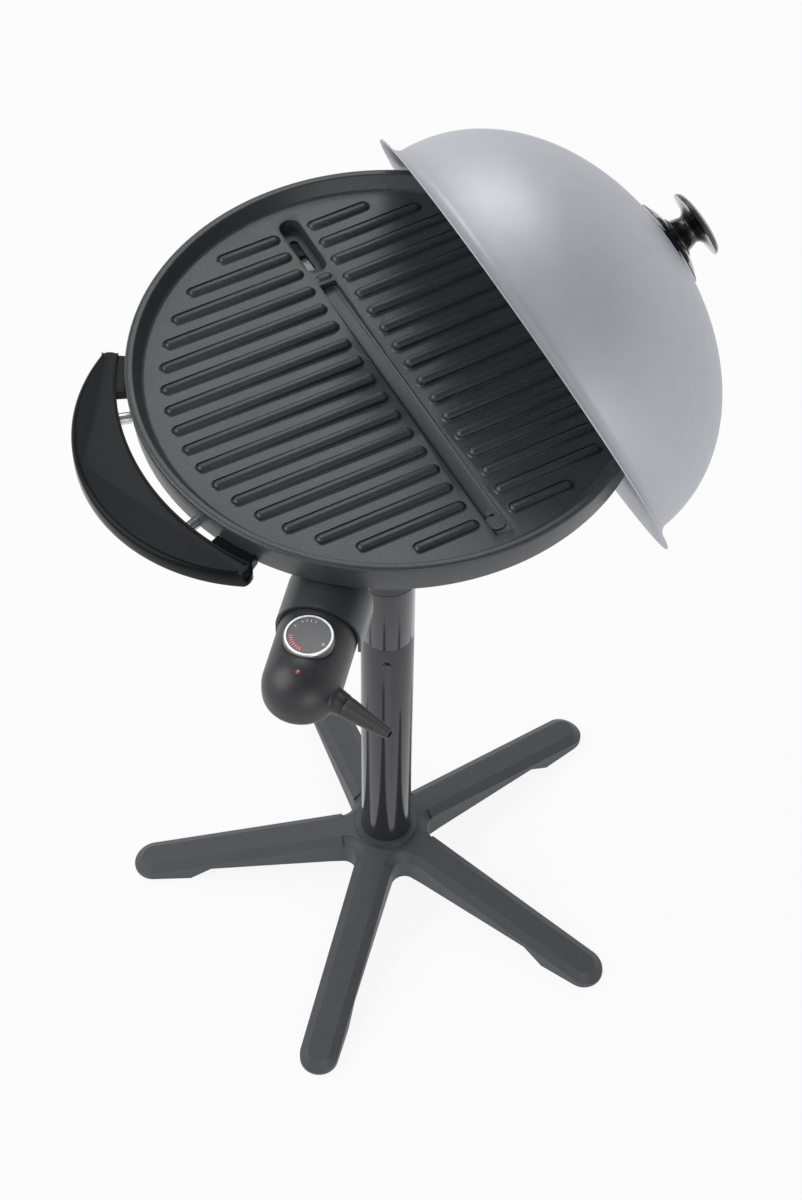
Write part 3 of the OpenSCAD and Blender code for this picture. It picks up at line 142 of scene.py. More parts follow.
# %% Floor
def gloss_or_glass(tree):
    """The kinds of ray, and one for the rays that come off a gloss or through glass."""
    rays = tree.nodes.new("ShaderNodeLightPath")
    either = math_node(tree, "MAXIMUM")
    link(tree, rays, "Is Glossy Ray", either, 0)
    link(tree, rays, "Is Transmission Ray", either, 1)
    return rays, either


def white_to_rays(name, tone, seen):
    """A matt surface that the camera and the reflections see as white."""
    mat = bpy.data.materials.new(name)
    mat.use_nodes = True
    tree = mat.node_tree
    tree.nodes.clear()
    out = tree.nodes.new("ShaderNodeOutputMaterial")
    matt = tree.nodes.new("ShaderNodeBsdfDiffuse")
    glow = tree.nodes.new("ShaderNodeEmission")
    blend = tree.nodes.new("ShaderNodeMixShader")
    share = math_node(tree, "MULTIPLY", b=seen)
    rays, either = gloss_or_glass(tree)
    every = math_node(tree, "MAXIMUM")
    matt.inputs["Color"].default_value = (tone, tone, tone, 1)
    glow.inputs["Color"].default_value = (1, 1, 1, 1)
    link(tree, either, 0, every, 0)
    link(tree, rays, "Is Camera Ray", every, 1)
    link(tree, every, 0, share, 0)
    link(tree, share, 0, blend, 0)
    link(tree, matt, 0, blend, 1)
    link(tree, glow, 0, blend, 2)
    link(tree, blend, 0, out, "Surface")
    return mat


deselect()
bpy.ops.mesh.primitive_circle_add(
    vertices=64, radius=7, fill_type="NGON", location=(0, 0, -0.0004))
floor = made("floor")
floor.data.materials.append(white_to_rays("white_floor", 0.8, 0.9))
print("floor corners:", len(floor.data.vertices))

# %% Sky and lamps
world = bpy.data.worlds.new("studio")
bpy.context.scene.world = world
world.use_nodes = True
sky = world.node_tree
sky.nodes.clear()
sky_out = sky.nodes.new("ShaderNodeOutputWorld")
sky_light = sky.nodes.new("ShaderNodeBackground")
sky_light.inputs["Color"].default_value = (1, 1, 1, 1)
sky_rays, sky_gloss = gloss_or_glass(sky)
heading = sky.nodes.new("ShaderNodeTexCoord")
height = sky.nodes.new("ShaderNodeSeparateXYZ")
fade = sky.nodes.new("ShaderNodeMapRange")
for label, value in (("From Min", 0.05), ("From Max", 0.75), ("To Min", 1.0), ("To Max", 0.22)):
    fade.inputs[label].default_value = value
in_gloss = sky.nodes.new("ShaderNodeMix")
in_gloss.inputs[2].default_value = 0.42
in_camera = sky.nodes.new("ShaderNodeMix")
in_camera.inputs[3].default_value = 1.0
link(sky, heading, "Generated", height, 0)
link(sky, height, "Z", fade, 0)
link(sky, sky_gloss, 0, in_gloss, 0)
link(sky, fade, 0, in_gloss, 3)
link(sky, sky_rays, "Is Camera Ray", in_camera, 0)
link(sky, in_gloss, 0, in_camera, 2)
link(sky, in_camera, 0, sky_light, "Strength")
link(sky, sky_light, 0, sky_out, "Surface")


def soft_lamp(name, place, target, size, power):
    lamp = bpy.data.lights.new(name, "AREA")
    lamp.shape = "RECTANGLE"
    lamp.size, lamp.size_y = size
    lamp.energy = power
    holder = bpy.data.objects.new(name, lamp)
    bpy.context.scene.collection.objects.link(holder)
    holder.location = place
    holder.rotation_euler = (Vector(target) - Vector(place)).to_track_quat("-Z", "Y").to_euler()
    return holder


soft_lamp("key_softbox", (-2.3, 0.7, 2.5), (0, 0, 0.7), (2.6, 2.6), 62)
soft_lamp("top_softbox", (0.85, 1.6, 3.0), (0, 0, 0.75), (1.7, 1.7), 24)
soft_lamp("front_softbox", (-0.5, -3.2, 1.1), (0, 0, 0.4), (1.8, 1.8), 20)

# %% [markdown]
# ## Shared surface effects
#
# Moulded plastic, paint and coatings differ in colour and gloss, yet the small faults are
# the same: a fine grain, and a gloss that varies a little where hands and cloths have been.
# Each effect is a node group with named sockets, made once and used in every finish.

# %% Node groups
def new_group(name, inputs, outputs):
    group = bpy.data.node_groups.new(name, "ShaderNodeTree")
    for label, value in inputs:
        socket = group.interface.new_socket(label, in_out="INPUT", socket_type="NodeSocketFloat")
        socket.default_value = value
    for label in outputs:
        group.interface.new_socket(label, in_out="OUTPUT", socket_type="NodeSocketFloat")
    return group, group.nodes.new("NodeGroupInput"), group.nodes.new("NodeGroupOutput")


def make_grain():
    """Moulded grain: Height for a Bump node, Tone for a small change of colour."""
    group, given, result = new_group(
        "moulded_grain", [("Scale", 900.0), ("Coarse", 60.0)], ["Height", "Tone"])
    place = group.nodes.new("ShaderNodeTexCoord")
    fine = group.nodes.new("ShaderNodeTexNoise")
    pits = group.nodes.new("ShaderNodeTexVoronoi")
    broad = group.nodes.new("ShaderNodeTexNoise")
    fine.inputs["Detail"].default_value = 3
    broad.inputs["Detail"].default_value = 2
    total = math_node(group, "ADD")
    link(group, place, "Object", fine, "Vector")
    link(group, place, "Object", pits, "Vector")
    link(group, place, "Object", broad, "Vector")
    link(group, given, "Scale", fine, "Scale")
    link(group, given, "Scale", pits, "Scale")
    link(group, given, "Coarse", broad, "Scale")
    link(group, fine, "Fac", total, 0)
    link(group, pits, "Distance", total, 1)
    link(group, total, 0, result, "Height")
    link(group, broad, "Fac", result, "Tone")
    return group


def make_handling():
    """Wiped and touched places: Gloss is a value to add to the roughness."""
    group, given, result = new_group(
        "handling_marks", [("Scale", 12.0), ("Amount", 0.06)], ["Gloss"])
    place = group.nodes.new("ShaderNodeTexCoord")
    stretch = group.nodes.new("ShaderNodeMapping")
    stretch.inputs["Scale"].default_value = (1, 1, 2.5)
    smear = group.nodes.new("ShaderNodeTexNoise")
    smear.inputs["Detail"].default_value = 5
    smear.inputs["Distortion"].default_value = 0.6
    centre = math_node(group, "SUBTRACT", b=0.5)
    scale = math_node(group, "MULTIPLY")
    link(group, place, "Object", stretch, "Vector")
    link(group, stretch, "Vector", smear, "Vector")
    link(group, given, "Scale", smear, "Scale")
    link(group, smear, "Fac", centre, 0)
    link(group, centre, 0, scale, 0)
    link(group, given, "Amount", scale, 1)
    link(group, scale, 0, result, "Gloss")
    return group


def make_dust():
    """Fine dust on faces that look up: Dust is a mask."""
    group, given, result = new_group(
        "settled_dust", [("Scale", 350.0), ("Amount", 0.1)], ["Dust"])
    place = group.nodes.new("ShaderNodeTexCoord")
    shape = group.nodes.new("ShaderNodeNewGeometry")
    split = group.nodes.new("ShaderNodeSeparateXYZ")
    specks = group.nodes.new("ShaderNodeTexNoise")
    specks.inputs["Detail"].default_value = 6
    upward = math_node(group, "MAXIMUM", b=0.0)
    sharp = math_node(group, "POWER", b=2.0)
    spread = math_node(group, "MULTIPLY")
    share = math_node(group, "MULTIPLY")
    link(group, shape, "Normal", split, 0)
    link(group, split, "Z", upward, 0)
    link(group, upward, 0, sharp, 0)
    link(group, place, "Object", specks, "Vector")
    link(group, given, "Scale", specks, "Scale")
    link(group, sharp, 0, spread, 0)
    link(group, specks, "Fac", spread, 1)
    link(group, spread, 0, share, 0)
    link(group, given, "Amount", share, 1)
    link(group, share, 0, result, "Dust")
    return group


grain_group = make_grain()
handling_group = make_handling()
dust_group = make_dust()
print("effects:", [g.name for g in bpy.data.node_groups])

# %% [markdown]
# ## A finish from the effects
#
# Every finish starts the same way: a colour that shifts slightly with the broad grain, a
# roughness that shifts with handling, dust on top, and a bump. What is the same all over,
# such as metallic or coat, is set on the shader itself.

# %% The common finish
def rgb(r, g, b):
    return (r, g, b, 1.0)


def finish(name, colour, rough, metallic=0.0, coat=0.0, grain=900.0, depth=0.02, shift=0.12,
           marks=0.05, dust=0.05, specular=0.5):
    """A finish. Depth is the grain's height in millimetres, and shift the change of colour."""
    mat = bpy.data.materials.new(name)
    mat.use_nodes = True
    tree = mat.node_tree
    shader = tree.nodes["Principled BSDF"]
    skin = tree.nodes.new("ShaderNodeGroup")
    skin.node_tree = grain_group
    skin.inputs["Scale"].default_value = grain
    wipe = tree.nodes.new("ShaderNodeGroup")
    wipe.node_tree = handling_group
    wipe.inputs["Amount"].default_value = marks
    fluff = tree.nodes.new("ShaderNodeGroup")
    fluff.node_tree = dust_group
    fluff.inputs["Amount"].default_value = dust
    tones = tree.nodes.new("ShaderNodeMix")
    tones.data_type = "RGBA"
    tones.inputs["A"].default_value = rgb(*[c * (1 - shift) for c in colour])
    tones.inputs["B"].default_value = rgb(*[min(1, c * (1 + shift)) for c in colour])
    dusty = tree.nodes.new("ShaderNodeMix")
    dusty.data_type = "RGBA"
    dusty.inputs["B"].default_value = rgb(0.45, 0.45, 0.46)
    gloss = math_node(tree, "ADD", b=rough)
    gloss.use_clamp = True
    bump = tree.nodes.new("ShaderNodeBump")
    bump.inputs["Strength"].default_value = 0.35
    bump.inputs["Distance"].default_value = depth * 0.001
    link(tree, skin, "Tone", tones, 0)
    tree.links.new(tones.outputs["Result"], dusty.inputs["A"])
    link(tree, fluff, "Dust", dusty, 0)
    tree.links.new(dusty.outputs["Result"], shader.inputs["Base Color"])
    link(tree, wipe, "Gloss", gloss, 0)
    link(tree, gloss, 0, shader, "Roughness")
    link(tree, skin, "Height", bump, "Height")
    link(tree, bump, "Normal", shader, "Normal")
    shader.inputs["Metallic"].default_value = metallic
    shader.inputs["Coat Weight"].default_value = coat
    shader.inputs["Coat Roughness"].default_value = 0.08
    shader.inputs["Specular IOR Level"].default_value = specular
    mat.diffuse_color = rgb(*colour)
    return mat


# %% Finishes of this grill
leg_plastic = finish(
    "leg_grained_plastic", (0.047, 0.052, 0.059), 0.5, grain=1400, depth=0.05, marks=0.08,
    dust=0.06)
pad_rubber = finish("foot_rubber", (0.02, 0.02, 0.022), 0.75, grain=700, depth=0.06)
zinc = finish("zinc_plating", (0.62, 0.62, 0.63), 0.32, metallic=1.0, grain=500, marks=0.15)
column_paint = finish(
    "column_gloss_paint", (0.026, 0.026, 0.034), 0.13, grain=260, depth=0.001, shift=0.08,
    marks=0.02, dust=0.0, specular=0.42)
socket_plastic = finish(
    "socket_satin_plastic", (0.02, 0.02, 0.023), 0.42, grain=1100, depth=0.03)
sheet_steel = finish(
    "aluminised_sheet", (0.5, 0.5, 0.51), 0.38, metallic=1.0, grain=220, shift=0.15, marks=0.18)
element_steel = finish(
    "element_sheath", (0.22, 0.21, 0.2), 0.5, metallic=1.0, grain=600, depth=0.03, shift=0.3,
    marks=0.2)
ceramic = finish("terminal_ceramic", (0.74, 0.71, 0.64), 0.6, grain=800, depth=0.04, dust=0.02)
shroud_plastic = finish(
    "shroud_satin_plastic", (0.032, 0.034, 0.038), 0.36, grain=1200, marks=0.06)
handle_plastic = finish(
    "handle_gloss_plastic", (0.006, 0.0065, 0.008), 0.2, grain=300, depth=0.004, dust=0.01,
    specular=0.1)
plug_plastic = finish("plug_satin_plastic", (0.014, 0.0145, 0.017), 0.4, grain=1300)
contact_brass = finish(
    "contact_brass", (0.75, 0.6, 0.3), 0.3, metallic=1.0, grain=500, depth=0.01, marks=0.12)
lamp_red = finish(
    "lamp_lens", (0.35, 0.02, 0.02), 0.12, coat=0.6, grain=200, depth=0.004, dust=0.0)
relief_rubber = finish("relief_rubber", (0.018, 0.018, 0.02), 0.5, depth=0.03)
knob_plastic = finish(
    "knob_gloss_plastic", (0.006, 0.006, 0.007), 0.16, coat=0.5, grain=300, depth=0.004,
    marks=0.06, dust=0.0)
print("finishes:", len(bpy.data.materials))

# %% [markdown]
# ## The non-stick coating
#
# Under a spray coating the casting keeps a soft orange peel, and the coating itself holds
# fine bright flakes. Flakes come from a Voronoi pattern whose cells are cut by a threshold,
# so that only a few of them catch the light.

# %% Coated aluminium
plate_coating = finish(
    "plate_coating", (0.034, 0.036, 0.041), 0.36, grain=420, depth=0.045, shift=0.1, marks=0.1,
    dust=0.0)
tree = plate_coating.node_tree
shader = tree.nodes["Principled BSDF"]
coords = tree.nodes.new("ShaderNodeTexCoord")
cells = tree.nodes.new("ShaderNodeTexVoronoi")
cells.inputs["Scale"].default_value = 1800
flake = tree.nodes.new("ShaderNodeSeparateColor")
few = math_node(tree, "GREATER_THAN", b=0.975)
flaked = tree.nodes.new("ShaderNodeMix")
flaked.data_type = "RGBA"
flaked.inputs["B"].default_value = rgb(0.1, 0.104, 0.11)
previous = shader.inputs["Base Color"].links[0].from_socket
link(tree, coords, "Object", cells, "Vector")
link(tree, cells, "Color", flake, 0)
link(tree, flake, 0, few, 0)
link(tree, few, 0, flaked, 0)
tree.links.new(previous, flaked.inputs["A"])
tree.links.new(flaked.outputs["Result"], shader.inputs["Base Color"])
print("coating nodes:", len(tree.nodes))

# %% [markdown]
# ## Spun and painted lid metal
#
# The dome is spun from sheet and painted a satin silver. Spinning leaves faint rings round
# the dome's own axis, which is tilted while the lid hangs. A Mapping node carries the
# pattern into the dome's frame, where the rings depend only on the height.

# %% Lid finish
LID_CENTRE = (0.130, 0, 0.746)
LID_TILT = math.radians(67.6)
lid_place = Matrix.Translation(LID_CENTRE) @ Matrix.Rotation(LID_TILT, 4, "Y")
lid_metal = finish(
    "lid_satin_silver", (0.5, 0.52, 0.56), 0.5, metallic=0.55, grain=700, depth=0.012,
    shift=0.05, marks=0.06, dust=0.0)
tree = lid_metal.node_tree
shader = tree.nodes["Principled BSDF"]
coords = tree.nodes.new("ShaderNodeTexCoord")
into_lid = tree.nodes.new("ShaderNodeMapping")
into_lid.vector_type = "TEXTURE"
into_lid.inputs["Location"].default_value = LID_CENTRE
into_lid.inputs["Rotation"].default_value = (0, LID_TILT, 0)
squeeze = tree.nodes.new("ShaderNodeMapping")
squeeze.inputs["Scale"].default_value = (2, 2, 900)
rings = tree.nodes.new("ShaderNodeTexNoise")
rings.inputs["Scale"].default_value = 1.0
rings.inputs["Detail"].default_value = 4
ring_gloss = tree.nodes.new("ShaderNodeMapRange")
ring_gloss.inputs["To Min"].default_value = -0.03
ring_gloss.inputs["To Max"].default_value = 0.03
with_rings = math_node(tree, "ADD")
previous = shader.inputs["Roughness"].links[0].from_socket
link(tree, coords, "Object", into_lid, "Vector")
link(tree, into_lid, "Vector", squeeze, "Vector")
link(tree, squeeze, "Vector", rings, "Vector")
link(tree, rings, "Fac", ring_gloss, 0)
link(tree, ring_gloss, 0, with_rings, 0)
tree.links.new(previous, with_rings.inputs[1])
link(tree, with_rings, 0, shader, "Roughness")
print("lid nodes:", len(tree.nodes))

# %% [markdown]
# ## Dressing the solids that keep their shape
#
# Screws, pins, rails and inner parts are right as they are, so they only get a finish.

# %% Finishes for the CAD nodes
wears = {
    "base_star": leg_plastic, "foot_pads": pad_rubber, "column_plug": zinc, "base_bolt": zinc,
    "base_washer": zinc, "column_lower": column_paint, "column_upper": column_paint,
    "trim_ring": socket_plastic, "head_socket": socket_plastic, "support_bowl": sheet_steel,
    "bowl_screws": zinc, "tray_rails": sheet_steel, "rail_rivets": zinc,
    "snap_button": column_paint, "button_leaf": zinc, "grill_plate": plate_coating,
    "heating_element": element_steel, "terminal_block": ceramic, "terminal_pins": zinc,
    "terminal_screws": zinc, "socket_shroud": shroud_plastic, "handle_left": handle_plastic,
    "handle_right": handle_plastic, "handle_spacers": zinc, "handle_bolts": zinc,
    "drip_tray": sheet_steel,
    "plug_upper_shell": plug_plastic, "plug_lower_shell": plug_plastic, "plug_screws": zinc,
    "thermostat": ceramic, "contact_sleeves": contact_brass, "probe_rod": element_steel,
    "pilot_lamp": lamp_red, "strain_relief": relief_rubber, "dial": plug_plastic,
    "dial_spindle": zinc, "lid_dome": lid_metal, "guard_disc": knob_plastic,
    "lid_knob": knob_plastic, "knob_screw": zinc, "knob_washer": zinc, "lid_hook": zinc,
}
for name, mat in wears.items():
    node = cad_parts[name]
    node.data.materials.clear()
    node.data.materials.append(mat)
print("dressed nodes:", len(wears), "of", len(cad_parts))

# %% [markdown]
# ## A lathe from operators
#
# Many pieces are turned: the lid, the knob, the plate, the dial. Each starts as one vertex,
# which is extruded along the section and then spun round the axis. The corners of a
# section are rounded first, because no real edge is sharp and the highlights lie on them.

# %% Rounded sections and the lathe
MM = 0.001
QUARTER = math.radians(90)


def turned(angle):
    """A turn round the upright axis, in degrees."""
    return Matrix.Rotation(math.radians(angle), 4, "Z")


def rounded(corners, steps=4):
    """Points of a section from corners (x, z, radius), in millimetres."""
    points = []
    last = len(corners) - 1
    for i, (x, z, r) in enumerate(corners):
        here = Vector((x, z))
        if r <= 0 or i in (0, last):
            points.append(here)
            continue
        back = Vector(corners[i - 1][:2]) - here
        ahead = Vector(corners[i + 1][:2]) - here
        bend = back.angle(ahead)
        reach = min(r / math.tan(bend / 2), 0.49 * back.length, 0.49 * ahead.length)
        start = here + back.normalized() * reach
        end = here + ahead.normalized() * reach
        for k in range(steps + 1):
            t = k / steps
            points.append((1 - t) ** 2 * start + 2 * t * (1 - t) * here + t * t * end)
    return points


def lathe(name, section, steps=96, sweep=360.0, start=0.0):
    """Spins a section round the Z axis. A section that ends where it began gives a ring."""
    deselect()
    bpy.ops.mesh.primitive_plane_add(size=0.001)
    obj = made(name)
    edit(obj)
    bpy.ops.mesh.merge(type="CENTER")
    now = Vector((section[0][0] * MM, 0, section[0][1] * MM))
    bpy.ops.transform.translate(value=now)
    for x, z in section[1:]:
        then = Vector((x * MM, 0, z * MM))
        bpy.ops.mesh.extrude_region_move(TRANSFORM_OT_translate={"value": then - now})
        now = then
    bpy.ops.mesh.select_all(action="SELECT")
    if start:
        leave()
        obj.data.transform(turned(start))
        bpy.ops.object.mode_set(mode="EDIT")
        bpy.ops.mesh.select_all(action="SELECT")
    bpy.ops.mesh.spin(
        steps=steps, angle=math.radians(sweep), center=(0, 0, 0), axis=(0, 0, -1))
    bpy.ops.mesh.select_all(action="SELECT")
    bpy.ops.mesh.remove_doubles(threshold=1e-6)
    bpy.ops.mesh.select_all(action="SELECT")
    bpy.ops.mesh.fill_holes(sides=0)
    bpy.ops.mesh.select_all(action="SELECT")
    bpy.ops.mesh.normals_make_consistent(inside=False)
    leave()
    return obj


def settle(obj, place=None):
    """Puts the place of a piece into its mesh, so that its object stays at the origin."""
    if place is not None:
        obj.matrix_world = place @ obj.matrix_world
    choose(obj)
    bpy.ops.object.transform_apply(location=True, rotation=True, scale=True)
    return obj


def modify(obj, kind, **values):
    """Adds a modifier, sets it and applies it."""
    choose(obj)
    mod = obj.modifiers.new(kind.lower(), kind)
    for key, value in values.items():
        setattr(mod, key, value)
    bpy.ops.object.modifier_apply(modifier=mod.name)
    return obj


def cut(obj, cutter, operation="DIFFERENCE"):
    modify(obj, "BOOLEAN", operation=operation, object=cutter, solver="EXACT")
    bpy.data.objects.remove(cutter)
    return obj


def join(first, *others):
    deselect()
    for obj in (first, *others):
        obj.select_set(True)
    bpy.context.view_layer.objects.active = first
    bpy.ops.object.join()
    return first


def soften(obj, angle=35):
    choose(obj)
    bpy.ops.object.shade_smooth_by_angle(angle=math.radians(angle))
    return obj


def dress(obj, body, mat, slot, *nodes):
    """Gives a piece its finish and its body, and hides the nodes that it stands for."""
    obj.data.materials.clear()
    obj.data.materials.append(mat)
    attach(obj, body)
    if nodes:
        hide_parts(*nodes)
    print(f"{obj.name}: {len(obj.data.vertices)} vertices on {body}")
    return obj


# %% [markdown]
# ## The lid's dome
#
# The dome is sheet 1.2 mm thick with a flared rim. A sphere would be too round at the
# middle, so the section follows a superellipse. A fine bead runs near the rim, and the cut
# edge of the sheet is rolled smooth.

# %% Dome
POWER = 2.05
FLAT = 18.0
FLARE = 12.0
DOME_R = 196.0
DOME_H = 153.0
SHEET = 1.2
RIM_R = 213.1


def dome_half(radius, height, rim, foot, bead):
    """Half of the dome's section: the flare at the rim, then the superellipse."""
    wall = radius * (1 - (FLARE / height) ** POWER) ** (1 / POWER)
    points = []
    for i in range(13):
        a = math.radians(7.5 * i)
        x = rim - (rim - wall) * math.sin(a)
        z = foot + (FLARE - foot) * (1 - math.cos(a))
        if bead and 2 <= i <= 3:
            z += bead
        points.append((x, z))
    flat_angle = math.acos((FLAT / radius) ** (POWER / 2))
    for i in range(72):
        a = flat_angle * i / 71
        z = height * math.sin(a) ** (2 / POWER) if i else 0.0
        if z > FLARE + 1:
            points.append((radius * math.cos(a) ** (2 / POWER), z))
    points.append((0.0, points[-1][1]))
    return points


inside = dome_half(DOME_R - SHEET, DOME_H - SHEET, RIM_R, 0.1, 0.0)
outside = dome_half(DOME_R, DOME_H, RIM_R, SHEET, 0.25)
edge = [(213.45, 0.35), (213.45, 0.95)]
lid_top = outside[-1][1]
dome = lathe("lid_shell", list(reversed(inside)) + edge + outside, steps=160)
settle(dome, lid_place)
soften(dome, 40)
dress(dome, "lid", lid_metal, "lid_metal", "lid_dome")

# %% [markdown]
# ## Guard disc and knob
#
# Under the knob a shallow disc keeps fingers off the hot metal. The knob has a foot, a
# waist and a trumpet-shaped cap with a thin rim. Both are turned on the lid's axis.

# %% Guard disc and knob
GUARD_R = 40.3
KNOB_FOOT_R = 19
low = lid_top + 7.0
half_disc = []
for i in range(13):
    x = FLAT + (GUARD_R - FLAT) * i / 12
    half_disc.append((x, DOME_H * (1 - (x / DOME_R) ** POWER) ** (1 / POWER) + 1.55))
edge_z = half_disc[-1][1]
over = []
for i in range(17):
    x = GUARD_R - (GUARD_R - KNOB_FOOT_R) * i / 16
    fall = ((x - KNOB_FOOT_R) / 21.3) ** 1.6
    over.append((x, edge_z + 0.9 + (low - edge_z - 0.9) * (1 - fall)))
middle = [(0, lid_top), (10, lid_top), (11, lid_top + 1.5)]
disc_section = middle + half_disc + [(40.48, edge_z + 0.4)] + over + [(0, low)]
disc = lathe("knob_guard", disc_section, steps=128)
settle(disc, lid_place)
soften(disc, 40)
dress(disc, "lid", knob_plastic, "knob_plastic", "guard_disc")

rim_z = low + 22.0
neck_z = low + 2.5
waist_z = neck_z + (rim_z - neck_z) * 0.5
flare = []
for i in range(17):
    a = math.radians(90 * i / 16)
    flare.append((13 + 18 * (1 - math.cos(a)), waist_z + (rim_z - 2.0 - waist_z) * math.sin(a)))
crown = []
for i in range(17):
    a = math.radians(90 * i / 16)
    crown.append((30.2 * math.cos(a), rim_z + 0.1 + 6.5 * math.sin(a)))
foot = [tuple(p) for p in rounded([
    (0, low, 0), (KNOB_FOOT_R, low, 0.4), (KNOB_FOOT_R, low + 1.6, 0.8), (17, neck_z, 0.6),
    (15.5, neck_z + 1.2, 0)])]
cap_rim = [(30.9, rim_z - 1.4), (30.9, rim_z - 0.3), (30.6, rim_z)]
knob = lathe("lid_grip", foot + flare + cap_rim + crown, steps=128)
settle(knob, lid_place)
soften(knob, 40)
dress(knob, "lid", knob_plastic, "knob_plastic", "lid_knob")

# %% [markdown]
# ## The column
#
# Two painted tubes meet at a seam, and the upper one is reduced to slip into the lower. A
# tube could be a plain cylinder with a hole, but its ends are deburred, and those small
# rounds give the thin light line at the seam.

# %% Column tubes
TUBE_R = 25.4
TUBE_WALL = 1.5
SEAM_Z = 414
BUTTON_AZIMUTH = 240


def tube_section(radius, wall, low_z, high_z, edge):
    """A tube's wall with deburred ends, as a closed section."""
    return rounded([
        (radius - wall, low_z + 5, 0), (radius - wall, low_z, edge), (radius, low_z, edge),
        (radius, high_z, edge), (radius - wall, high_z, edge), (radius - wall, low_z + 5, 0)], 3)


def button_hole(diameter):
    """A cutter for the snap button's hole, across the column's wall."""
    deselect()
    bpy.ops.mesh.primitive_cylinder_add(vertices=48, radius=diameter / 2 * MM, depth=0.03)
    cutter = made("button_cutter")
    place = turned(BUTTON_AZIMUTH) @ Matrix.Translation((0.030, 0, 0.390))
    cutter.matrix_world = place @ Matrix.Rotation(QUARTER, 4, "Y")
    return cutter


lower_tube = lathe(
    "column_tube_lower", tube_section(TUBE_R, TUBE_WALL, 22, SEAM_Z, 0.5), steps=128)
cut(lower_tube, button_hole(8.4))
soften(lower_tube)
dress(lower_tube, "stand", column_paint, "column_paint", "column_lower")
upper_section = rounded([
    (22.3, 370, 0), (22.3, 364, 0.4), (23.8, 364, 0.4), (23.8, 412.5, 0.5), (24.4, SEAM_Z, 0.3),
    (TUBE_R, SEAM_Z, 0.8), (TUBE_R, 708.5, 0.4), (23.9, 708.5, 0.4), (23.9, 415.5, 0.5),
    (22.3, 415.5, 0.5), (22.3, 370, 0)], 3)
upper_tube = lathe("column_tube_upper", upper_section, steps=128)
cut(upper_tube, button_hole(8.4))
soften(upper_tube)
dress(upper_tube, "stand", column_paint, "column_paint", "column_upper")

# %% [markdown]
# ## The pan of the grill plate
#
# The casting is a shallow pan with a flat rim, a drafted skirt and two seat rings under the
# floor for the heating element. All of that is one section, turned once.

# %% Pan
PLATE_R = 220
PLATE_TOP = 800
SKIRT_Z = 770
SKIRT_T = 3.3
FLOOR_Z = 781


def wall_radius(z):
    """The outer radius of the drafted skirt."""
    return PLATE_R - 3.2 * (PLATE_TOP - z) / 30


def floor_height(radius):
    """The pan's floor, which falls to its middle."""
    return FLOOR_Z + 5.5 * radius / 206


pan_section = rounded([
    (0, 776, 0), (84, 778.2, 0.6), (84.3, 777, 0.8), (95.7, 777, 0.8), (96, 778.6, 0.6),
    (144, 779.8, 0.6), (144.3, 777, 0.8), (155.7, 777, 0.8), (156, 780.2, 0.6), (205, 781.5, 2),
    (wall_radius(780.5) - SKIRT_T, 780.5, 3), (wall_radius(SKIRT_Z) - SKIRT_T, SKIRT_Z, 1),
    (wall_radius(SKIRT_Z), SKIRT_Z, 1.2), (PLATE_R, PLATE_TOP, 3.2), (213, PLATE_TOP, 2.2),
    (206.6, 788, 4), (204.5, 786.5, 5), (150, 785.0, 0), (75, 783.0, 0), (0, FLOOR_Z, 0)], 5)
pan = lathe("plate_pan", pan_section, steps=192)
print("pan faces:", len(pan.data.polygons))

# %% [markdown]
# ## Drip channel, pocket and drain slot
#
# The channel falls towards the pocket, where a slot lets the fat through. Each is cut with
# a long cutter. The pocket's and the slot's start as a cylinder, one half of which is moved
# along, and the channel's is a bar whose lower edges are bevelled.

# %% Cutters
def long_slot(name, width, y_from, y_to, z_from, z_to):
    """An upright slot with round ends, along the channel."""
    deselect()
    sides = 48
    bpy.ops.mesh.primitive_cylinder_add(
        vertices=sides, radius=width / 2 * MM, depth=(z_to - z_from) * MM)
    obj = made(name)
    obj.rotation_euler.z = math.radians(180 / sides)
    settle(obj)
    for v in obj.data.vertices:
        v.co.z += (z_to + z_from) / 2 * MM
        v.co.y += (y_to - width / 2) * MM if v.co.y > 0 else (y_from + width / 2) * MM
    return obj


def channel_bar(name, width, y_from, y_to, z_front, z_back, height, corner):
    """A bar that falls from z_front to z_back, with its lower edges rounded."""
    deselect()
    bpy.ops.mesh.primitive_cube_add(size=1)
    obj = made(name)
    run = y_to - y_from
    obj.scale = (width * MM, run * MM, height * MM)
    settle(obj)
    pick_edges(obj, lambda a, b: a.z < 0 and b.z < 0)
    bpy.ops.mesh.bevel(offset=corner * MM, segments=6, profile=0.5, affect="EDGES")
    leave()
    fall = math.atan((z_front - z_back) / run)
    lift = Matrix.Translation((0, (y_from + y_to) / 2 * MM, (z_front + z_back) / 2 * MM))
    raised = Matrix.Translation((0, 0, height / 2 * MM))
    return settle(obj, lift @ Matrix.Rotation(-fall, 4, "X") @ raised)


boss = channel_bar("channel_boss", 23, -90, 116, 776.7, 772.0, 6, 1.0)
cut(pan, boss, "UNION")
cut(pan, long_slot("pocket_boss", 27, 123, 196, 768, 781.5), "UNION")
cut(pan, channel_bar("channel_cutter", 15, -194, 112, 783, 776, 16, 3.4))
cut(pan, long_slot("pocket_cutter", 19, 127, 192, 772, 800))
cut(pan, long_slot("slot_cutter", 7, 141, 180, 760, 790))
modify(pan, "BEVEL", width=0.0007, segments=2, limit_method="ANGLE",
       angle_limit=math.radians(40), use_clamp_overlap=False)
print("pan after cuts:", len(pan.data.polygons), "faces")

# %% [markdown]
# ## Ribs
#
# Each rib is a bar with round ends. One rib is turned from a quarter round with a small
# fillet at its foot, and one half of it is moved along to its length. The foot's rings are
# then laid on the pan's sloping floor, so the fillet meets it everywhere.

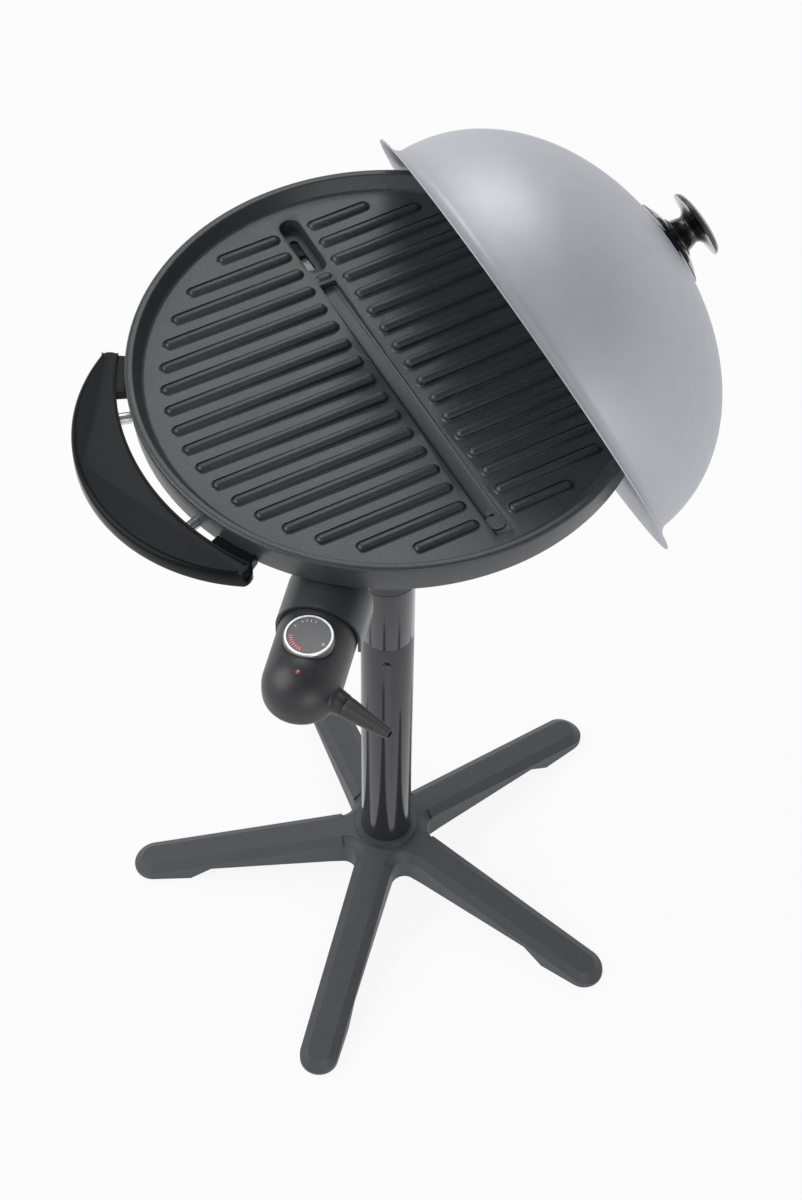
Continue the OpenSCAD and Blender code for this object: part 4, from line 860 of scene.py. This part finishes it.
# %% One rib, then its copies
RIB_TOP = 789.0
RIB_R = 5.0
RIB_PITCH = 22
RIB_REACH = 190.4
RIB_START = 14.5
FOOT_LIFTS = {-3: 1.4, -2: 0.45, -1: -0.12}


def one_rib():
    """A round button. Its three foot rings stand at -3, -2 and -1 mm until they are laid."""
    section = [(0.95, RIB_TOP)]
    for i in range(2, 9):
        a = math.radians(90 - 90 * i / 8)
        section.append((RIB_R * math.cos(a), RIB_TOP - RIB_R + RIB_R * math.sin(a)))
    section += [(5.05, -3), (5.5, -2), (6.6, -1)]
    return lathe("rib", section, steps=24, start=7.5)


def lay_rib(model, name, x_from, x_to, y):
    """A copy of the model, drawn out from x_from to x_to and laid on the floor."""
    rib = model.copy()
    rib.data = model.data.copy()
    rib.name = name
    bpy.context.scene.collection.objects.link(rib)
    for v in rib.data.vertices:
        ring = v.co.z
        v.co.x += (x_to - RIB_R) * MM if v.co.x > 0 else (x_from + RIB_R) * MM
        v.co.y += y * MM
        if ring < 0:
            v.co.z = (floor_height(v.co.xy.length / MM) + FOOT_LIFTS[round(ring / MM)]) * MM
    return rib


model = one_rib()
ribs = []
for k in range(-8, 9):
    y = RIB_PITCH * k
    reach = math.sqrt(RIB_REACH ** 2 - y ** 2)
    ribs.append(lay_rib(model, f"rib_{k}_near", -reach, -RIB_START, y))
    ribs.append(lay_rib(model, f"rib_{k}_far", RIB_START, reach, y))
bpy.data.objects.remove(model)
print("ribs:", len(ribs))

# %% Dam, feet and terminal posts of the plate
PLUG_AZIMUTH = 228
plug_turn = turned(PLUG_AZIMUTH)


def bar_prism(name, size, place, bevel):
    """A block with soft edges, in millimetres."""
    deselect()
    bpy.ops.mesh.primitive_cube_add(size=1)
    obj = made(name)
    obj.scale = [s * MM for s in size]
    obj.location = [p * MM for p in place]
    settle(obj)
    return modify(obj, "BEVEL", width=bevel * MM, segments=4, limit_method="ANGLE")


dam = bar_prism("pocket_dam", (17, 10, 12), (0, 119.5, 780), 4.6)
extras = [dam]
for a in (30, 150, 270):
    for radius, x, low_z in ((8, 180.0, 761.8), (3.5, 170.5, 752.5)):
        foot_section = rounded(
            [(0, low_z, 0), (radius, low_z, 0.6), (radius, 784, 0), (0, 784, 0)], 2)
        post = lathe("post", foot_section, steps=32)
        c, s = math.cos(math.radians(a)), math.sin(math.radians(a))
        extras.append(settle(post, Matrix.Translation((x * c * MM, x * s * MM, 0))))
post_section = rounded([(2, 768, 0), (6, 768, 0.5), (6, 784, 0), (2, 784, 0), (2, 768, 0)], 2)
for y in (-24, 24):
    post = lathe("post", post_section, steps=32)
    place = plug_turn @ Vector((186 * MM, y * MM, 0))
    extras.append(settle(post, Matrix.Translation(place)))
lug = bar_prism("probe_lug", (39, 11, 40), (140.5, 0, 758.5), 1.2)
settle(lug, plug_turn)
deselect()
bpy.ops.mesh.primitive_cylinder_add(vertices=48, radius=2.8 * MM, depth=0.06)
bore = made("probe_bore")
bore.matrix_world = (
    plug_turn @ Matrix.Translation((0.157, 0, 0.744)) @ Matrix.Rotation(QUARTER, 4, "Y"))
cut(lug, bore)
extras.append(lug)
join(pan, *ribs, *extras)
soften(pan, 40)
dress(pan, "plate", plate_coating, "plate_coating", "grill_plate")

# %% [markdown]
# ## Handles
#
# A handle is a crescent: its outer edge is an arc of its own, its inner edge follows the
# plate. It is cut from a disc, the way one would saw it: a round cutter takes the inner
# side away, and two straight cuts give the blunt ends. Then the edges are rounded, the outer
# one widely. A thin lip and two arms are short turned pieces.

# %% Handle
HANDLE_BOW_R = 157.2
HANDLE_BOW_X = 118.7
HANDLE_IN_R = 228
HANDLE_Z = 775
HANDLE_T = 14
HANDLE_HALF = 34


def straight_cut(obj, angle, keep_low):
    """Bisects a piece along a ray from the origin and closes the cut."""
    a = math.radians(angle)
    normal = Vector((-math.sin(a), math.cos(a), 0)) * (1 if keep_low else -1)
    edit(obj)
    bpy.ops.mesh.bisect(
        plane_co=(0, 0, 0), plane_no=normal, use_fill=True, clear_outer=True)
    leave()


def upright_at_end(a, b):
    """Whether an edge stands at one of the two blunt ends."""
    azimuth = abs(math.degrees(math.atan2(a.y, a.x)))
    return (a.xy - b.xy).length < 1e-6 and abs(azimuth - HANDLE_HALF) < 0.2


def on_outer_top(a, b):
    """Whether an edge is on top and not on the inner side."""
    return min(a.z, b.z) > 0.7819 and min(a.xy.length, b.xy.length) > 0.2285


def make_handle(name):
    """The far handle: the crescent with its lip and two arms."""
    deselect()
    bpy.ops.mesh.primitive_cylinder_add(
        vertices=256, radius=HANDLE_BOW_R * MM, depth=HANDLE_T * MM,
        location=(HANDLE_BOW_X * MM, 0, HANDLE_Z * MM))
    blade = settle(made(name))
    bpy.ops.mesh.primitive_cylinder_add(
        vertices=360, radius=HANDLE_IN_R * MM, depth=40 * MM, location=(0, 0, HANDLE_Z * MM))
    cut(blade, settle(made("inner_cutter")))
    straight_cut(blade, HANDLE_HALF, True)
    straight_cut(blade, -HANDLE_HALF, False)
    pick_edges(blade, upright_at_end)
    bpy.ops.mesh.bevel(offset=6 * MM, segments=6, profile=0.5, affect="EDGES")
    leave()
    pick_edges(blade, on_outer_top)
    bpy.ops.mesh.bevel(offset=4.8 * MM, segments=6, profile=0.5, affect="EDGES")
    leave()
    modify(blade, "BEVEL", width=0.0011, segments=3, limit_method="ANGLE",
           angle_limit=math.radians(40))
    lip_points = rounded([
        (HANDLE_IN_R, HANDLE_Z, 0), (HANDLE_IN_R, 783, 0.7), (230.2, 783, 0.8), (230.2, 780, 0),
        (230.2, HANDLE_Z, 0), (HANDLE_IN_R, HANDLE_Z, 0)], 3)
    lip = lathe("lip", lip_points, steps=96, sweep=66, start=-33)
    arm_points = rounded([
        (218.1, HANDLE_Z, 0), (217.6, 770, 0.6), (230, 770, 0), (230, 780, 0), (218.6, 780, 0.6),
        (218.1, HANDLE_Z, 0)], 3)
    arms = [lathe("arm", arm_points, steps=16, sweep=10, start=start) for start in (23, -33)]
    return join(blade, lip, *arms)


right_handle = soften(make_handle("handle_far"), 40)
left_handle = right_handle.copy()
left_handle.data = right_handle.data.copy()
left_handle.name = "handle_near"
bpy.context.scene.collection.objects.link(left_handle)
settle(left_handle, turned(180))
dress(right_handle, "plate", handle_plastic, "handle_plastic", "handle_right")
dress(left_handle, "plate", handle_plastic, "handle_plastic", "handle_left")

# %% [markdown]
# ## The thermostat plug
#
# Its body is a moulding without a hard edge: an arch, a round end and a spout run into each
# other. The arch with its end and the spout are made apart, pushed together and remeshed,
# and a smoothing pass melts their joint. The dial's pocket and the contact holes are cut
# afterwards, so they stay crisp.

# %% Plug body
PLUG_Z = 731.7


def plug_section():
    """Half of the arch with its flat foot and round lower corner, from the top down."""
    r, low, corner, start = 32.0, 16.0, 9.0, 1.5
    half = [(start, PLUG_Z + math.sqrt(r * r - start * start))]
    for i in range(1, 17):
        a = math.radians(90 - 90 * i / 16)
        half.append((r * math.cos(a), PLUG_Z + r * math.sin(a)))
    half.append((r, PLUG_Z - low + corner))
    for i in range(1, 9):
        a = math.radians(-90 * i / 8)
        half.append((r - corner + corner * math.cos(a),
                     PLUG_Z - low + corner + corner * math.sin(a)))
    half.append((start, PLUG_Z - low))
    return half


body = lathe("plug_body", plug_section(), steps=64, start=2.8125)
for v in body.data.vertices:
    v.co.x += (290 if v.co.x > 0 else 200) * MM
edit(body)
bpy.ops.mesh.bisect(
    plane_co=(0.2187, 0, 0), plane_no=(-1, 0, 0), use_fill=True, clear_outer=True)
leave()
spout_section = rounded([(0, 0, 0), (14.5, 0, 0), (13.2, 6, 0), (9.5, 37, 1.0), (0, 37, 0)], 3)
spout = lathe("spout", spout_section, steps=48)
spout_root = Matrix.Translation((0.288, 0.006, PLUG_Z * MM))
settle(spout, spout_root @ turned(67) @ Matrix.Rotation(QUARTER, 4, "Y"))
join(body, spout)
modify(body, "REMESH", mode="VOXEL", voxel_size=0.0012)
modify(body, "SMOOTH", factor=0.5, iterations=18)
print("plug forms:", [round(v, 4) for v in body.dimensions])

# %% Dial pocket, contact holes and place
def drill(x, y, z, radius, depth, along=(0, 0, 0)):
    """A round cutter, in millimetres."""
    deselect()
    bpy.ops.mesh.primitive_cylinder_add(
        vertices=64, radius=radius * MM, depth=depth * MM,
        location=(x * MM, y * MM, z * MM), rotation=along)
    return settle(made("drill"))


cut(body, drill(265.5, 0, 765.2, 21.7, 20))
for y in (-13, 0, 13):
    cut(body, drill(228, y, 744, 4.05 if y else 2.8, 60, (0, QUARTER, 0)))
settle(body, plug_turn)
soften(body, 40)
dress(body, "plug", plug_plastic, "plug_plastic", "plug_upper_shell", "plug_lower_shell")

# %% [markdown]
# ## The dial
#
# The dial is a grey disc sunk in the plug, ringed by a light silver rim whose light colour is
# a painted highlight of the rim's edge. Its scale is printed: a red band with ticks, a few
# more ticks, and a ring for off. Print could be painted by a material, but a thin inlay of
# real geometry keeps its edges sharp at any distance.

# %% Dial and its print
dial_grey = finish("dial_grey_plastic", (0.12, 0.122, 0.13), 0.42, grain=1000)
# The rim ring's light silver colour is a painted highlight: it stands for the bright line of
# light along the dial's rim.
dial_rim_painted_highlight = finish(
    "dial_rim_silver_painted_highlight", (0.6, 0.6, 0.62), 0.3, metallic=0.7, grain=600, depth=0.006)
dial_red = finish("dial_red_print", (0.5, 0.03, 0.04), 0.5, depth=0.01)
dial_white = finish("dial_white_print", (0.72, 0.68, 0.68), 0.5, depth=0.01)
dial_place = Matrix.Translation((-0.17765, -0.19730, 0))
DIAL_FACE = 764.6


def on_dial(obj, name, mat, *nodes):
    """Puts a piece in the dial's place and dresses it."""
    obj.name = name
    settle(obj, dial_place)
    soften(obj)
    return dress(obj, "dial", mat, "dial_plastic", *nodes)


disc_part = lathe("dial_disc", rounded([
    (0, DIAL_FACE, 0), (17.6, DIAL_FACE, 0.3), (17.6, 765.1, 0.2), (20.5, 764.4, 0.6),
    (20.5, 755.5, 0.5), (0, 755.5, 0)], 3), steps=96)
on_dial(disc_part, "dial_disc", dial_grey, "dial")
# A thin ring round the dial's face, whose light silver colour is a painted highlight of the rim.
rim = lathe("dial_rim", rounded([
    (17.7, 764.2, 0), (17.7, 765.4, 0.25), (19.5, 765.45, 0.3), (20.0, 764.2, 0),
    (17.7, 764.2, 0)], 3), steps=96)
on_dial(rim, "dial_rim", dial_rim_painted_highlight)
band_section = [(12.9, 764.4), (12.9, 764.68), (15.6, 764.68), (15.6, 764.4), (12.9, 764.4)]
band = lathe("dial_band", band_section, steps=40, sweep=74, start=146)
on_dial(band, "dial_band", dial_red)


def tick(angle, near, far, width, high=764.76):
    """A thin printed line from near to far from the dial's axis."""
    piece = bar_prism("tick", (far - near, width, 0.4), ((near + far) / 2, 0, high - 0.2), 0.05)
    return settle(piece, turned(angle))


ticks = [tick(a, 12.7, 15.8, 0.42) for a in range(150, 220, 9)]
ticks += [tick(a, 13.4, 15.8, 0.5, 764.7) for a in (40, 54, 68, 82, 110)]
ring_section = [(0.8, 764.4), (0.8, 764.7), (1.25, 764.7), (1.25, 764.4), (0.8, 764.4)]
ring = lathe("off_ring", ring_section, steps=32)
off = math.radians(296)
off_place = Matrix.Translation((0.0142 * math.cos(off), 0.0142 * math.sin(off), 0))
ticks.append(settle(ring, off_place))
on_dial(join(*ticks), "dial_ticks", dial_white)
